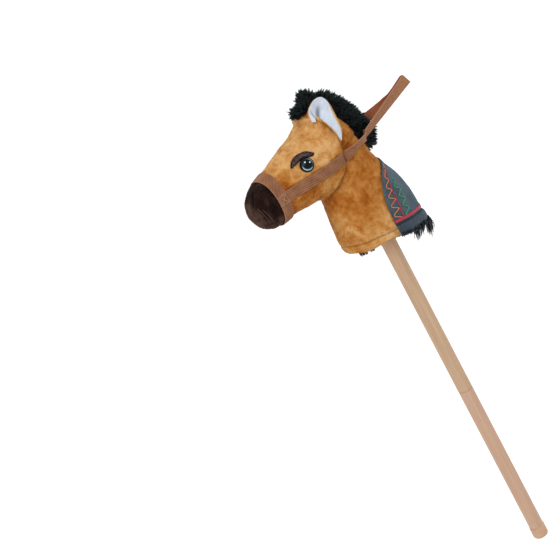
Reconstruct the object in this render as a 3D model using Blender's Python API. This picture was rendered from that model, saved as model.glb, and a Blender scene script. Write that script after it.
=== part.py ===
"""Hobby horse: a stuffed horse head on a two-part wooden pole, with webbing reins and a cloth blanket.

Metres, +Z up along the pole. The origin is the middle of the pole's foot face, the horse faces -Y
and its left side is +X. Heights of the head and neck are measured from the neck's base.
"""
import math

import bmesh
import bpy
from mathutils import Matrix, Vector

# Clearances
FIT_GAP = 0.0003
SEAM_GAP = 0.0003
SEAT_GAP = 0.0005
STUFFING_GAP = 0.0008

# Pole
POLE_DIAMETER = 0.028
POLE_JOINT_HEIGHT = 0.342
POLE_IN_NECK = 0.165
POLE_JOINT_CHAMFER = 0.0009
SPIGOT_DIAMETER = 0.016
SPIGOT_ENGAGEMENT = 0.050
SPIGOT_ROOT = 0.040
SPIGOT_CHAMFER = 0.0015
SOCKET_RELIEF = 0.002
FOOT_CAP_DIAMETER = 0.030
FOOT_CAP_WALL = 0.002
FOOT_CAP_FLOOR = 0.004
FOOT_CAP_HEIGHT = 0.024
FOOT_CAP_ROUNDING = 0.005
TOP_CAP_WALL = 0.0015
TOP_CAP_FLOOR = 0.003
TOP_CAP_HEIGHT = 0.018
POLE_SEGMENTS = 32

# Neck: height of its base on the pole's axis, and its overall size
NECK_BASE_HEIGHT = 0.677
NECK_HEIGHT = 0.274
NECK_DEPTH = 0.162
NECK_WIDTH = 0.120
NECK_BASE_ANGLE = 10.76
NECK_OVAL_RATIO = 2.2
COVER_THICKNESS = 0.003
BASE_PANEL_THICKNESS = 0.002
NECK_BOARD_THICKNESS = 0.004
RIDGE_HALF_WIDTH = 0.0036

# Head: its length runs from the pole's axis to the tip of the muzzle
HEAD_LENGTH = 0.212
HEAD_WIDTH = 0.112
HEAD_HEIGHT = 0.139
HEAD_BELOW_CREST = 0.011
HEAD_OVAL_RATIO = 2.25
HEAD_TIP_RADIUS = 0.0004
MUZZLE_SEAM_FROM_AXIS = 0.160

# Webbing bridle
WEBBING_WIDTH = 0.020
WEBBING_THICKNESS = 0.002
NOSEBAND_FROM_AXIS = 0.1625
STRAP_ABOVE_JAW = 0.051
REIN_HINGE_Y = 0.036
REIN_HINGE_RADIUS = 0.008
REIN_END_AHEAD = 0.026
REIN_END_RISE = 0.006
REIN_LENGTH = 0.150
REIN_LOOP_RISE = 0.031
REIN_END_GAP = 0.003

# Eyes
EYE_DIAMETER = 0.025
EYE_HEIGHT = 0.008
EYE_STEM_DIAMETER = 0.005
EYE_STEM_LENGTH = 0.016
EYE_SEAT_DEPTH = 0.004
EYE_FROM_AXIS = 0.098
EYE_ABOVE_STRAP = 0.028
EYE_WASHER_DIAMETER = 0.018
EYE_WASHER_THICKNESS = 0.0015
EYE_WASHER_DEPTH = 0.0046
BROW_THICKNESS = 0.0015

# Ears
EAR_LENGTH = 0.0815
EAR_DEPTH = 0.040
EAR_FROM_AXIS = 0.004
EAR_BELOW_CREST = 0.074
EAR_THICKNESS = 0.0026
EAR_LINING_THICKNESS = 0.0012
EAR_STAND_OFF = 0.0015
EAR_CUP = 0.004
EAR_ROOT_SHARE = -0.12
LINING_SHARES = (0.02, 0.93)
LINING_TRIM = 0.15

# Mane and forelock
MANE_HALF_WIDTH = 0.017
FORELOCK_HALF_WIDTH = 0.016
FORELOCK_HEIGHT = 0.053
FORELOCK_DEPTH = 0.045
FORELOCK_FROM_AXIS = 0.013

# Blanket
BLANKET_THICKNESS = 0.002
BLANKET_TOP_SHARE = 0.485
BLANKET_NEAR_REACH = 92.0
BLANKET_FAR_REACH = 112.0
BLANKET_FOLD_DEPTH = 0.0035
BLANKET_FOLDS = 5
BLANKET_STAND_OFF = 0.0009
HEM_HEIGHT = 0.022
HEM_THICKNESS = 0.002
RIBBON_HEIGHT = 0.028
RIBBON_WIDTH = 0.005
RIBBON_THICKNESS = 0.001
FRINGE_LENGTH = 0.022
FRINGE_THICKNESS = 0.0015
FRINGE_STRIPS = 24
FRINGE_NOTCH_SHARE = 0.42
FRINGE_FLARE = 0.004
FRINGE_UNEVEN_SHARE = 0.12
BRAID_WIDTH = 0.0026
BRAID_THICKNESS = 0.001
ZIGZAG_DEPTH = 0.0042
ZIGZAG_PITCH = 0.0170

# Values that follow from the sizes above
POLE_TOP_HEIGHT = NECK_BASE_HEIGHT + POLE_IN_NECK
NECK_BASE_SLANT = math.tan(math.radians(NECK_BASE_ANGLE))
HEAD_LIFT = NECK_HEIGHT - HEAD_BELOW_CREST - HEAD_HEIGHT
STRAP_HEIGHT = HEAD_LIFT + STRAP_ABOVE_JAW
EYE_LIFT = STRAP_HEIGHT + EYE_ABOVE_STRAP
BLANKET_HEIGHT = BLANKET_TOP_SHARE * NECK_HEIGHT

# Shape of the neck: share of its height, front and rear as shares of half its depth, half-width as a share
NECK_STATIONS = (
    (0.000, -0.985, 0.925, 0.985),
    (0.080, -1.000, 0.955, 0.985),
    (0.230, -1.015, 0.940, 0.975),
    (0.358, -0.975, 0.840, 0.935),
    (0.449, -0.915, 0.720, 0.885),
    (0.536, -0.850, 0.655, 0.850),
    (0.613, -0.795, 0.575, 0.815),
    (0.686, -0.745, 0.445, 0.780),
    (0.777, -0.690, 0.305, 0.715),
    (0.850, -0.640, 0.170, 0.650),
    (0.923, -0.570, 0.045, 0.545),
    (0.975, -0.475, -0.075, 0.365),
    (1.000, -0.395, -0.150, 0.060),
)

# Shape of the head: distance in front of the axis as a share of its length, low and high edge as shares
# of its height, half-width as a share
HEAD_STATIONS = (
    (1.000, 0.330, 0.352, 0.040),
    (0.988, 0.245, 0.437, 0.260),
    (0.965, 0.178, 0.502, 0.420),
    (0.920, 0.101, 0.583, 0.575),
    (0.858, 0.060, 0.633, 0.660),
    (0.802, 0.055, 0.655, 0.690),
    (0.755, 0.058, 0.676, 0.700),
    (0.684, 0.065, 0.705, 0.725),
    (0.566, 0.050, 0.763, 0.820),
    (0.448, 0.040, 0.820, 0.925),
    (0.330, 0.000, 0.870, 0.990),
    (0.236, 0.000, 0.942, 1.000),
    (0.189, 0.030, 0.985, 0.980),
    (0.142, 0.080, 1.000, 0.930),
    (0.104, 0.150, 0.970, 0.850),
    (0.071, 0.240, 0.925, 0.730),
    (0.038, 0.350, 0.850, 0.600),
    (0.000, 0.500, 0.750, 0.450),
)

# Inner and outer edge of the mane, as shares of the neck's depth and height, and share of its half-width
MANE_STATIONS = (
    ((-0.056, 0.971), (-0.037, 1.026), 0.55),
    ((-0.012, 0.934), (0.062, 1.033), 0.80),
    ((0.025, 0.887), (0.160, 1.004), 1.00),
    ((0.062, 0.836), (0.259, 0.949), 1.00),
    ((0.111, 0.781), (0.346, 0.883), 1.00),
    ((0.160, 0.723), (0.395, 0.825), 1.00),
    ((0.204, 0.672), (0.432, 0.752), 1.00),
    ((0.241, 0.628), (0.488, 0.686), 1.00),
    ((0.272, 0.591), (0.488, 0.613), 0.95),
    ((0.296, 0.551), (0.426, 0.558), 0.80),
    ((0.309, 0.522), (0.370, 0.526), 0.50),
)

# Forelock: place along its depth, low and high edge above the crest in its heights, share of half-width
FORELOCK_STATIONS = (
    (1.000, -0.113, 0.132, 0.35),
    (0.889, -0.302, 0.321, 0.75),
    (0.711, -0.377, 0.453, 1.00),
    (0.511, -0.358, 0.547, 1.00),
    (0.311, -0.321, 0.623, 0.95),
    (0.133, -0.226, 0.604, 0.75),
    (0.000, -0.038, 0.434, 0.40),
)

# Ear: seam and free edge as shares of its depth and length, and the edge's lean outward in its depths
EAR_STATIONS = (
    ((0.388, 0.000), (0.362, 0.012), 0.012),
    ((0.412, 0.221), (0.112, 0.221), 0.075),
    ((0.450, 0.393), (0.038, 0.491), 0.100),
    ((0.512, 0.540), (0.000, 0.724), 0.025),
    ((0.575, 0.613), (0.012, 0.883), -0.125),
    ((0.638, 0.663), (0.200, 1.000), -0.225),
    ((0.712, 0.687), (0.550, 0.951), -0.150),
    ((0.788, 0.693), (0.850, 0.847), 0.000),
    ((0.900, 0.663), (1.000, 0.687), 0.025),
)

# Brow patch: outline from the eye's middle, ahead and up, in eye diameters
BROW_OUTLINE = (
    (0.90, 0.44),
    (0.56, 0.68),
    (0.06, 0.80),
    (-0.46, 0.72),
    (-0.82, 0.38),
    (-0.66, 0.31),
    (-0.42, 0.43),
    (-0.05, 0.60),
    (0.34, 0.49),
    (0.68, 0.30),
)

# Rein end on the neck: share of its length, share of its rise, twist in degrees
REIN_END_STATIONS = (
    (0.000, 0.000, 0.0),
    (0.161, 0.000, 4.0),
    (0.355, 0.083, 18.0),
    (0.581, 0.333, 34.0),
    (0.774, 0.667, 46.0),
    (1.000, 1.000, 50.0),
)

# Reins behind the hinge: share of their length, share of the way in to the middle, share of the rise, twist
REIN_STATIONS = (
    (0.00, 0.00, 0.00, 50.0),
    (0.10, 0.13, 0.09, 50.0),
    (0.22, 0.29, 0.24, 46.0),
    (0.36, 0.46, 0.42, 38.0),
    (0.52, 0.60, 0.60, 26.0),
    (0.70, 0.78, 0.77, 12.0),
    (0.86, 0.92, 0.90, 4.0),
    (1.00, 1.00, 1.00, 0.0),
)

# Braids on the blanket: name, places across at both ends, upper end as a share of the blanket, zigzag or not
BRAIDS = (
    ("braid_orange", -0.885, -0.850, 0.888, True),
    ("braid_red", -0.815, -0.800, 0.798, False),
    ("braid_green", -0.750, -0.650, 0.737, True),
)

# Fringe: place across the blanket and share of its length there
FRINGE_STATIONS = (
    (-1.00, 0.18),
    (-0.75, 0.25),
    (-0.60, 0.62),
    (-0.30, 0.95),
    (0.00, 1.00),
    (1.00, 1.30),
)

# Colours and roughness of the materials
PLUSH_TAN = ((0.56, 0.26, 0.08), 0.95)
PLUSH_BROWN = ((0.05, 0.025, 0.018), 0.95)
FUR_BLACK = ((0.006, 0.006, 0.006), 0.9)
LINING_WHITE = ((0.62, 0.68, 0.78), 0.9)
WEBBING_BROWN = ((0.33, 0.14, 0.085), 0.8)
CLOTH_BLUE = ((0.055, 0.09, 0.13), 0.9)
CLOTH_HEM = ((0.045, 0.07, 0.10), 0.9)
RIBBON_CRIMSON = ((0.58, 0.01, 0.05), 0.6)
FRINGE_BLACK = ((0.008, 0.008, 0.012), 0.9)
BRAID_ORANGE = ((0.75, 0.27, 0.08), 0.7)
BRAID_RED = ((0.58, 0.02, 0.02), 0.7)
BRAID_GREEN = ((0.03, 0.32, 0.13), 0.7)
BEECH = ((0.61, 0.39, 0.25), 0.6)
BEECH_DARK = ((0.55, 0.34, 0.21), 0.6)
CAP_PLASTIC = ((0.58, 0.37, 0.24), 0.55)
FIBRE_WHITE = ((0.8, 0.8, 0.78), 1.0)
BOARD_GREY = ((0.35, 0.28, 0.2), 0.9)
EYE_BLACK = ((0.01, 0.012, 0.015), 0.12)
WASHER_WHITE = ((0.7, 0.7, 0.7), 0.5)

# Mesh densities
HALF_SEGMENTS = 16
NECK_RINGS = 18
BLANKET_COLUMNS = 36
BLANKET_ROWS = 10


def clear_scene():
    for old in list(bpy.data.objects):
        bpy.data.objects.remove(old, do_unlink=True)


def make_material(name, finish):
    colour, roughness = finish
    material = bpy.data.materials.new(name)
    material.use_nodes = True
    shader = material.node_tree.nodes["Principled BSDF"]
    shader.inputs["Base Color"].default_value = (*colour, 1.0)
    shader.inputs["Roughness"].default_value = roughness
    shader.inputs["Metallic"].default_value = 0.0
    return material


def add_object(name, points, faces, finish=None, parent=None, location=None, smooth=True):
    """A mesh object; without a finish it is a guide or cutter that isn't part of the horse."""
    offset = Vector(location) if location else Vector((0.0, 0.0, 0.0))
    mesh = bpy.data.meshes.new(name)
    mesh.from_pydata([Vector(p) - offset for p in points], [], faces)
    tidy = bmesh.new()
    tidy.from_mesh(mesh)
    bmesh.ops.recalc_face_normals(tidy, faces=tidy.faces)
    tidy.to_mesh(mesh)
    tidy.free()
    piece = bpy.data.objects.new(name, mesh)
    bpy.context.scene.collection.objects.link(piece)
    piece.location = offset
    if parent is not None:
        piece.parent = parent
        piece.location = offset - parent.location
    if finish is None:
        piece.hide_render = True
        piece.display_type = "WIRE"
    else:
        mesh.materials.append(make_material(name, finish))
        if smooth:
            mesh.shade_smooth()
            mesh.set_sharp_from_angle(angle=math.radians(40.0))
    return piece


def combine(piece, guide, operation):
    step = piece.modifiers.new(operation.lower() + "_" + guide.name, "BOOLEAN")
    step.object = guide
    step.operation = operation
    step.solver = "EXACT"


def add_empty(name, location):
    empty = bpy.data.objects.new(name, None)
    bpy.context.scene.collection.objects.link(empty)
    empty.location = location
    return empty


def spread(start, end, count):
    return [start + (end - start) * i / (count - 1) for i in range(count)]


def smooth_row(rows, place):
    """Values of a table at a place in its first column, on a smooth curve through the rows."""
    ordered = sorted(rows)
    if place <= ordered[0][0]:
        return ordered[0][1:]
    if place >= ordered[-1][0]:
        return ordered[-1][1:]
    upper = next(i for i, row in enumerate(ordered) if row[0] >= place)
    first, second = ordered[upper - 1], ordered[upper]
    before = ordered[max(upper - 2, 0)]
    after = ordered[min(upper + 1, len(ordered) - 1)]
    step = second[0] - first[0]
    t = (place - first[0]) / step
    values = []
    for k in range(1, len(first)):
        slope_a = (second[k] - before[k]) / (second[0] - before[0]) * step
        slope_b = (after[k] - first[k]) / (after[0] - first[0]) * step
        values.append(
            (2 * t**3 - 3 * t**2 + 1) * first[k]
            + (t**3 - 2 * t**2 + t) * slope_a
            + (3 * t**2 - 2 * t**3) * second[k]
            + (t**3 - t**2) * slope_b
        )
    return tuple(values)


def rounded(value, squareness):
    return math.copysign(abs(value) ** (2.0 / squareness), value)


def oval_reach(offset, half_length, half_width, squareness):
    """Half-width of an oval at an offset along its length, or 0 past its end."""
    share = abs(offset) / half_length
    if share >= 1.0:
        return 0.0
    return half_width * (1.0 - share**squareness) ** (1.0 / squareness)


# Neck surface


def neck_section(share):
    """Middle, half-depth and half-width of the neck at a share of its height."""
    front, rear, wide = smooth_row(NECK_STATIONS, min(max(share, 0.0), 1.0))
    front *= NECK_DEPTH / 2
    rear *= NECK_DEPTH / 2
    half_width = max(wide * NECK_WIDTH / 2, RIDGE_HALF_WIDTH)
    return (front + rear) / 2, (rear - front) / 2, half_width


def neck_height(share, y):
    """Height of the neck's section, which follows the slant of its base and levels out above."""
    slant = NECK_BASE_SLANT * (1.0 - min(max(share, 0.0), 1.0))
    return NECK_BASE_HEIGHT + share * NECK_HEIGHT - slant * y


def neck_point(share, angle, grow=0.0):
    """Point on the neck; the angle is 0 at its left side, 90 at its rear."""
    middle, half_depth, half_width = neck_section(share)
    turn = math.radians(angle)
    x = (half_width + grow) * rounded(math.cos(turn), NECK_OVAL_RATIO)
    y = middle + (half_depth + grow) * rounded(math.sin(turn), NECK_OVAL_RATIO)
    return Vector((x, y, neck_height(share, y)))


def neck_side(y, height):
    """Half-width of the neck at a place seen from the side."""
    share = height / NECK_HEIGHT
    for _ in range(4):
        slant = NECK_BASE_SLANT * (1.0 - min(max(share, 0.0), 1.0))
        share = (height + slant * y) / NECK_HEIGHT
    middle, half_depth, half_width = neck_section(share)
    return oval_reach(y - middle, half_depth, half_width, NECK_OVAL_RATIO)


# Head surface


def head_section(ahead):
    """Middle height, half-height and half-width of the head at a distance ahead of the axis."""
    low, high, wide = smooth_row(HEAD_STATIONS, ahead / HEAD_LENGTH)
    low = NECK_BASE_HEIGHT + HEAD_LIFT + low * HEAD_HEIGHT
    high = NECK_BASE_HEIGHT + HEAD_LIFT + high * HEAD_HEIGHT
    return (low + high) / 2, (high - low) / 2, wide * HEAD_WIDTH / 2


def head_point(ahead, angle, grow=0.0, shift=0.0):
    """Point on the head; the angle is 0 at its left side, 90 at its top."""
    middle, half_height, half_width = head_section(ahead)
    turn = math.radians(angle)
    x = max(half_width + grow, HEAD_TIP_RADIUS) * rounded(math.cos(turn), HEAD_OVAL_RATIO)
    z = middle + max(half_height + grow, HEAD_TIP_RADIUS) * rounded(math.sin(turn), HEAD_OVAL_RATIO)
    return Vector((x, -(ahead + shift), z))


def head_side(y, height):
    middle, half_height, half_width = head_section(-y)
    return oval_reach(NECK_BASE_HEIGHT + height - middle, half_height, half_width, HEAD_OVAL_RATIO)


def body_side(y, height):
    """Half-width of whichever of the head and neck lies outside, seen from the side."""
    return max(neck_side(y, height), head_side(y, height))


# Mesh builders


def slab_mesh(outer, inner, wrap=False):
    """Points and faces of a closed sheet between two grids of the same size."""
    rows, columns = len(outer), len(outer[0])
    points = [p for row in outer for p in row] + [p for row in inner for p in row]
    back = rows * columns
    faces = []
    last = columns if wrap else columns - 1
    for i in range(rows - 1):
        for j in range(last):
            k = (j + 1) % columns
            a, b = i * columns + j, i * columns + k
            c, d = (i + 1) * columns + k, (i + 1) * columns + j
            faces.append((a, b, c, d))
            faces.append((back + d, back + c, back + b, back + a))
    for j in range(last):
        k = (j + 1) % columns
        top = (rows - 1) * columns
        faces.append((back + j, back + k, k, j))
        faces.append((top + j, top + k, back + top + k, back + top + j))
    if not wrap:
        for i in range(rows - 1):
            a, d = i * columns, (i + 1) * columns
            faces.append((a, d, back + d, back + a))
            b, c = a + columns - 1, d + columns - 1
            faces.append((back + b, back + c, c, b))
    return points, faces


def loft_mesh(rings):
    """Points and faces of a closed tube through rings of the same size, with flat ends."""
    size = len(rings[0])
    points = [p for ring in rings for p in ring]
    faces = []
    for i in range(len(rings) - 1):
        for j in range(size):
            k = (j + 1) % size
            faces.append((i * size + j, i * size + k, (i + 1) * size + k, (i + 1) * size + j))
    faces.append(tuple(range(size)))
    faces.append(tuple((len(rings) - 1) * size + j for j in range(size)))
    return points, faces


def turned_mesh(profile, segments):
    """Points and faces of a profile of radius and height turned about Z.

    The profile's ends lie on the axis, or it comes back to its first point and makes a ring.
    """
    points, rings = [], []
    closed = profile[0] == profile[-1]
    for radius, height in profile[:-1] if closed else profile:
        if radius == 0.0:
            points.append(Vector((0.0, 0.0, height)))
            rings.append([len(points) - 1] * segments)
            continue
        ring = []
        for j in range(segments):
            turn = 2 * math.pi * j / segments
            points.append(Vector((radius * math.cos(turn), radius * math.sin(turn), height)))
            ring.append(len(points) - 1)
        rings.append(ring)
    if closed:
        rings.append(rings[0])
    faces = []
    for first, second in zip(rings, rings[1:]):
        for j in range(segments):
            k = (j + 1) % segments
            corners = [first[j], first[k], second[k], second[j]]
            kept = [c for n, c in enumerate(corners) if c not in corners[:n]]
            faces.append(tuple(kept))
    return points, faces


def arc(centre, radius, start, end, steps):
    """Points of an arc in a profile, from one angle in degrees to another."""
    turns = [math.radians(a) for a in spread(start, end, steps)]
    return [(centre[0] + radius * math.cos(t), centre[1] + radius * math.sin(t)) for t in turns]


def prism_mesh(outline, near, far):
    """Points and faces of an outline of y and z carried along X."""
    count = len(outline)
    points = [Vector((near, y, z)) for y, z in outline] + [Vector((far, y, z)) for y, z in outline]
    faces = [tuple(range(count)), tuple(range(2 * count - 1, count - 1, -1))]
    for i in range(count):
        k = (i + 1) % count
        faces.append((i, i + count, k + count, k))
    return points, faces


def mirrored(points):
    return [Vector((-p.x, p.y, p.z)) for p in points]


def sided(points, side):
    return points if side > 0 else mirrored(points)


SIDES = (("left", 1), ("right", -1))


# Guides: the room that the head and neck take up, each with a gap round it


def full_turn(count):
    return [360.0 * j / count - 90.0 for j in range(count)]


def head_places():
    """Distances ahead of the axis at which the head has its rings, from its tip to its rear."""
    ends = [HEAD_LENGTH * share for share in (1.0, 0.988, 0.965, 0.935, 0.90, 0.858, 0.81)]
    front = [MUZZLE_SEAM_FROM_AXIS + SEAM_GAP, MUZZLE_SEAM_FROM_AXIS - SEAM_GAP]
    rear = spread(MUZZLE_SEAM_FROM_AXIS - 0.057 * HEAD_LENGTH, 0.0, 14)
    return ends + front + rear


def head_rings(grow, places):
    """Whole rings of the head, with the tip moved on by the same growth."""
    rings = []
    for ahead in places:
        shift = grow * max(0.0, (ahead - MUZZLE_SEAM_FROM_AXIS) / (HEAD_LENGTH - MUZZLE_SEAM_FROM_AXIS))
        rings.append([head_point(ahead, a, grow, shift) for a in full_turn(2 * HALF_SEGMENTS)])
    return rings


def neck_shares(top=1.0):
    return spread(0.0, top, NECK_RINGS)


def neck_rings(grow, shares):
    return [[neck_point(s, a, grow) for a in full_turn(2 * HALF_SEGMENTS)] for s in shares]


def head_room(name, grow):
    return add_object(name, *loft_mesh(head_rings(grow, head_places())))


def neck_room(name, grow):
    return add_object(name, *loft_mesh(neck_rings(grow, neck_shares())))


# Pole


def add_pole(lower_body):
    radius = POLE_DIAMETER / 2
    socket = SPIGOT_DIAMETER / 2 + FIT_GAP
    tenon = FOOT_CAP_DIAMETER / 2 - FOOT_CAP_WALL - FIT_GAP
    tenon_end = FOOT_CAP_FLOOR + FIT_GAP
    shoulder = FOOT_CAP_HEIGHT + FIT_GAP
    joint = POLE_JOINT_HEIGHT
    socket_floor = joint - SPIGOT_ENGAGEMENT - SOCKET_RELIEF
    lower = [
        (0.0, tenon_end),
        (tenon, tenon_end),
        (tenon, shoulder),
        (radius, shoulder),
        (radius, joint - POLE_JOINT_CHAMFER),
        (radius - POLE_JOINT_CHAMFER, joint),
        (socket, joint),
        (socket, socket_floor),
        (0.0, socket_floor),
    ]
    points, faces = turned_mesh(lower, POLE_SEGMENTS)
    add_object("pole_lower", points, faces, BEECH, parent=lower_body, location=lower_body.location)
    bottom = joint + FIT_GAP
    upper = [
        (0.0, joint + SPIGOT_ROOT + FIT_GAP),
        (socket, joint + SPIGOT_ROOT + FIT_GAP),
        (socket, bottom),
        (radius - POLE_JOINT_CHAMFER, bottom),
        (radius, bottom + POLE_JOINT_CHAMFER),
        (radius, POLE_TOP_HEIGHT),
        (0.0, POLE_TOP_HEIGHT),
    ]
    points, faces = turned_mesh(upper, POLE_SEGMENTS)
    add_object("pole_upper", points, faces, BEECH_DARK)
    pin = SPIGOT_DIAMETER / 2
    low, high = joint - SPIGOT_ENGAGEMENT, joint + SPIGOT_ROOT
    spigot = [
        (0.0, low),
        (pin - SPIGOT_CHAMFER, low),
        (pin, low + SPIGOT_CHAMFER),
        (pin, high - SPIGOT_CHAMFER),
        (pin - SPIGOT_CHAMFER, high),
        (0.0, high),
    ]
    points, faces = turned_mesh(spigot, POLE_SEGMENTS)
    add_object("pole_spigot", points, faces, BEECH)


def add_foot_cap(lower_body):
    outer = FOOT_CAP_DIAMETER / 2
    inner = outer - FOOT_CAP_WALL
    turn = FOOT_CAP_ROUNDING
    profile = [(0.0, 0.0)]
    profile += arc((outer - turn, turn), turn, -90.0, 0.0, 5)
    profile += [
        (outer, FOOT_CAP_HEIGHT - FOOT_CAP_WALL / 2),
        (outer - FOOT_CAP_WALL / 2, FOOT_CAP_HEIGHT),
        (inner, FOOT_CAP_HEIGHT),
        (inner, FOOT_CAP_FLOOR),
        (0.0, FOOT_CAP_FLOOR),
    ]
    points, faces = turned_mesh(profile, POLE_SEGMENTS)
    add_object("foot_cap", points, faces, CAP_PLASTIC, parent=lower_body, location=lower_body.location)


def top_cap_sizes():
    """Inner radius, outer radius, lower edge and top of the cap on the hidden end of the pole."""
    inner = POLE_DIAMETER / 2 + FIT_GAP
    low = POLE_TOP_HEIGHT + FIT_GAP + TOP_CAP_FLOOR - TOP_CAP_HEIGHT
    return inner, inner + TOP_CAP_WALL, low, POLE_TOP_HEIGHT + FIT_GAP + TOP_CAP_FLOOR


def add_top_cap():
    inner, outer, low, top = top_cap_sizes()
    ceiling = top - TOP_CAP_FLOOR
    profile = [(0.0, ceiling), (inner, ceiling), (inner, low), (outer, low)]
    profile += arc((outer - TOP_CAP_FLOOR, top - TOP_CAP_FLOOR), TOP_CAP_FLOOR, 0.0, 90.0, 4)
    profile += [(0.0, top)]
    points, faces = turned_mesh(profile, POLE_SEGMENTS)
    add_object("pole_top_cap", points, faces, WASHER_WHITE)


def pole_room():
    """Guide for the bore that the pole and its cap sit in."""
    _, cap, low, top = top_cap_sizes()
    profile = [
        (0.0, NECK_BASE_HEIGHT - NECK_DEPTH),
        (POLE_DIAMETER / 2 + FIT_GAP, NECK_BASE_HEIGHT - NECK_DEPTH),
        (POLE_DIAMETER / 2 + FIT_GAP, low - FIT_GAP),
        (cap + FIT_GAP, low - FIT_GAP),
        (cap + FIT_GAP, top + FIT_GAP),
        (0.0, top + FIT_GAP),
    ]
    return add_object("pole_room", *turned_mesh(profile, POLE_SEGMENTS))


# Neck


def half_cover(surface, rows, side):
    """One sewn half of a cover: outside and inside grids from the bottom seam to the top seam."""
    outer, inner = [], []
    for row in rows:
        for grid, grow in ((outer, 0.0), (inner, -COVER_THICKNESS)):
            line = []
            for angle in spread(-90.0, 90.0, HALF_SEGMENTS + 1):
                point = surface(row, angle, grow)
                point.x = max(point.x, SEAM_GAP / 2)
                line.append(point)
            grid.append(line)
    points, faces = slab_mesh(outer, inner)
    return sided(points, side), faces


def add_neck(pole_bore):
    for label, side in SIDES:
        points, faces = half_cover(neck_point, neck_shares(), side)
        add_object("neck_panel_" + label, points, faces, PLUSH_TAN)
    inset = -(COVER_THICKNESS + FIT_GAP)
    layers = (
        ("neck_base_panel", 0.0, BASE_PANEL_THICKNESS, PLUSH_TAN),
        ("neck_board", BASE_PANEL_THICKNESS + FIT_GAP, NECK_BOARD_THICKNESS, BOARD_GREY),
    )
    for name, lift, thickness, finish in layers:
        rims = []
        for height in (lift, lift + thickness):
            share = height / NECK_HEIGHT
            rims.append([neck_point(share, a, inset) for a in full_turn(2 * HALF_SEGMENTS)])
        disc = add_object(name, *loft_mesh(rims), finish)
        combine(disc, pole_bore, "DIFFERENCE")
    start = (BASE_PANEL_THICKNESS + NECK_BOARD_THICKNESS + 2 * FIT_GAP) / NECK_HEIGHT
    shares = [start] + [s for s in neck_shares() if start < s < 0.96]
    inset = -(COVER_THICKNESS + STUFFING_GAP)
    rings = [ring[::2] for ring in neck_rings(inset, shares)]
    stuffing = add_object("neck_stuffing", *loft_mesh(rings), FIBRE_WHITE)
    combine(stuffing, pole_bore, "DIFFERENCE")


# Head


def add_head(neck_gap):
    rear_places = [p for p in head_places() if p < MUZZLE_SEAM_FROM_AXIS]
    for label, side in SIDES:
        points, faces = half_cover(head_point, rear_places, side)
        panel = add_object("head_panel_" + label, points, faces, PLUSH_TAN)
        combine(panel, neck_gap, "DIFFERENCE")
        combine(panel, eye_guide("eye_hole_" + label, side, EYE_STEM_DIAMETER / 2 + FIT_GAP), "DIFFERENCE")
    front_places = [p for p in head_places() if p > MUZZLE_SEAM_FROM_AXIS]
    outer = head_rings(0.0, front_places)
    inner = head_rings(-COVER_THICKNESS, front_places)
    points, faces = slab_mesh(outer, inner, wrap=True)
    size = len(outer[0])
    back = len(outer) * size
    ring_faces = [f for f in faces if not tip_rim(f, size, back)]
    ring_faces.append(tuple(range(size)))
    ring_faces.append(tuple(back + j for j in range(size)))
    add_object("muzzle_cover", points, ring_faces, PLUSH_BROWN)
    inset = -(COVER_THICKNESS + STUFFING_GAP)
    rings = [ring[::2] for ring in head_rings(inset, head_places()[::2])]
    stuffing = add_object("head_stuffing", *loft_mesh(rings), FIBRE_WHITE)
    combine(stuffing, neck_gap, "DIFFERENCE")
    for label, side in SIDES:
        room = EYE_WASHER_DIAMETER / 2 + 2 * FIT_GAP
        combine(stuffing, eye_guide("eye_pocket_" + label, side, room), "DIFFERENCE")


def tip_rim(face, size, back):
    """Whether a face joins the outer and inner skins at the tip, which is closed by discs instead."""
    return all(c % back < size for c in face) and any(c >= back for c in face) and any(c < back for c in face)


# Eyes and brows


def eye_frame(side):
    """Place of the eye on the head and the direction in which it looks."""
    y, height = -EYE_FROM_AXIS, EYE_LIFT
    step = EYE_DIAMETER / 12
    x = head_side(y, height)
    slope_y = (head_side(y + step, height) - head_side(y - step, height)) / (2 * step)
    slope_z = (head_side(y, height + step) - head_side(y, height - step)) / (2 * step)
    out = Vector((1.0, -slope_y, -slope_z)).normalized()
    place = Vector((x, y, NECK_BASE_HEIGHT + height))
    if side < 0:
        place.x, out.x = -place.x, -out.x
    return place, out


def along_eye(profile, side, segments=20):
    place, out = eye_frame(side)
    turn = Vector((0.0, 0.0, 1.0)).rotation_difference(out).to_matrix().to_4x4()
    frame = Matrix.Translation(place) @ turn
    points, faces = turned_mesh(profile, segments)
    return [frame @ p for p in points], faces


def eye_guide(name, side, radius):
    """Straight hole through the cover and into the stuffing."""
    low = -EYE_STEM_LENGTH - SEAT_GAP
    profile = [(0.0, low), (radius, low)]
    profile += [(radius, EYE_HEIGHT), (0.0, EYE_HEIGHT)]
    return add_object(name, *along_eye(profile, side))


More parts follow.
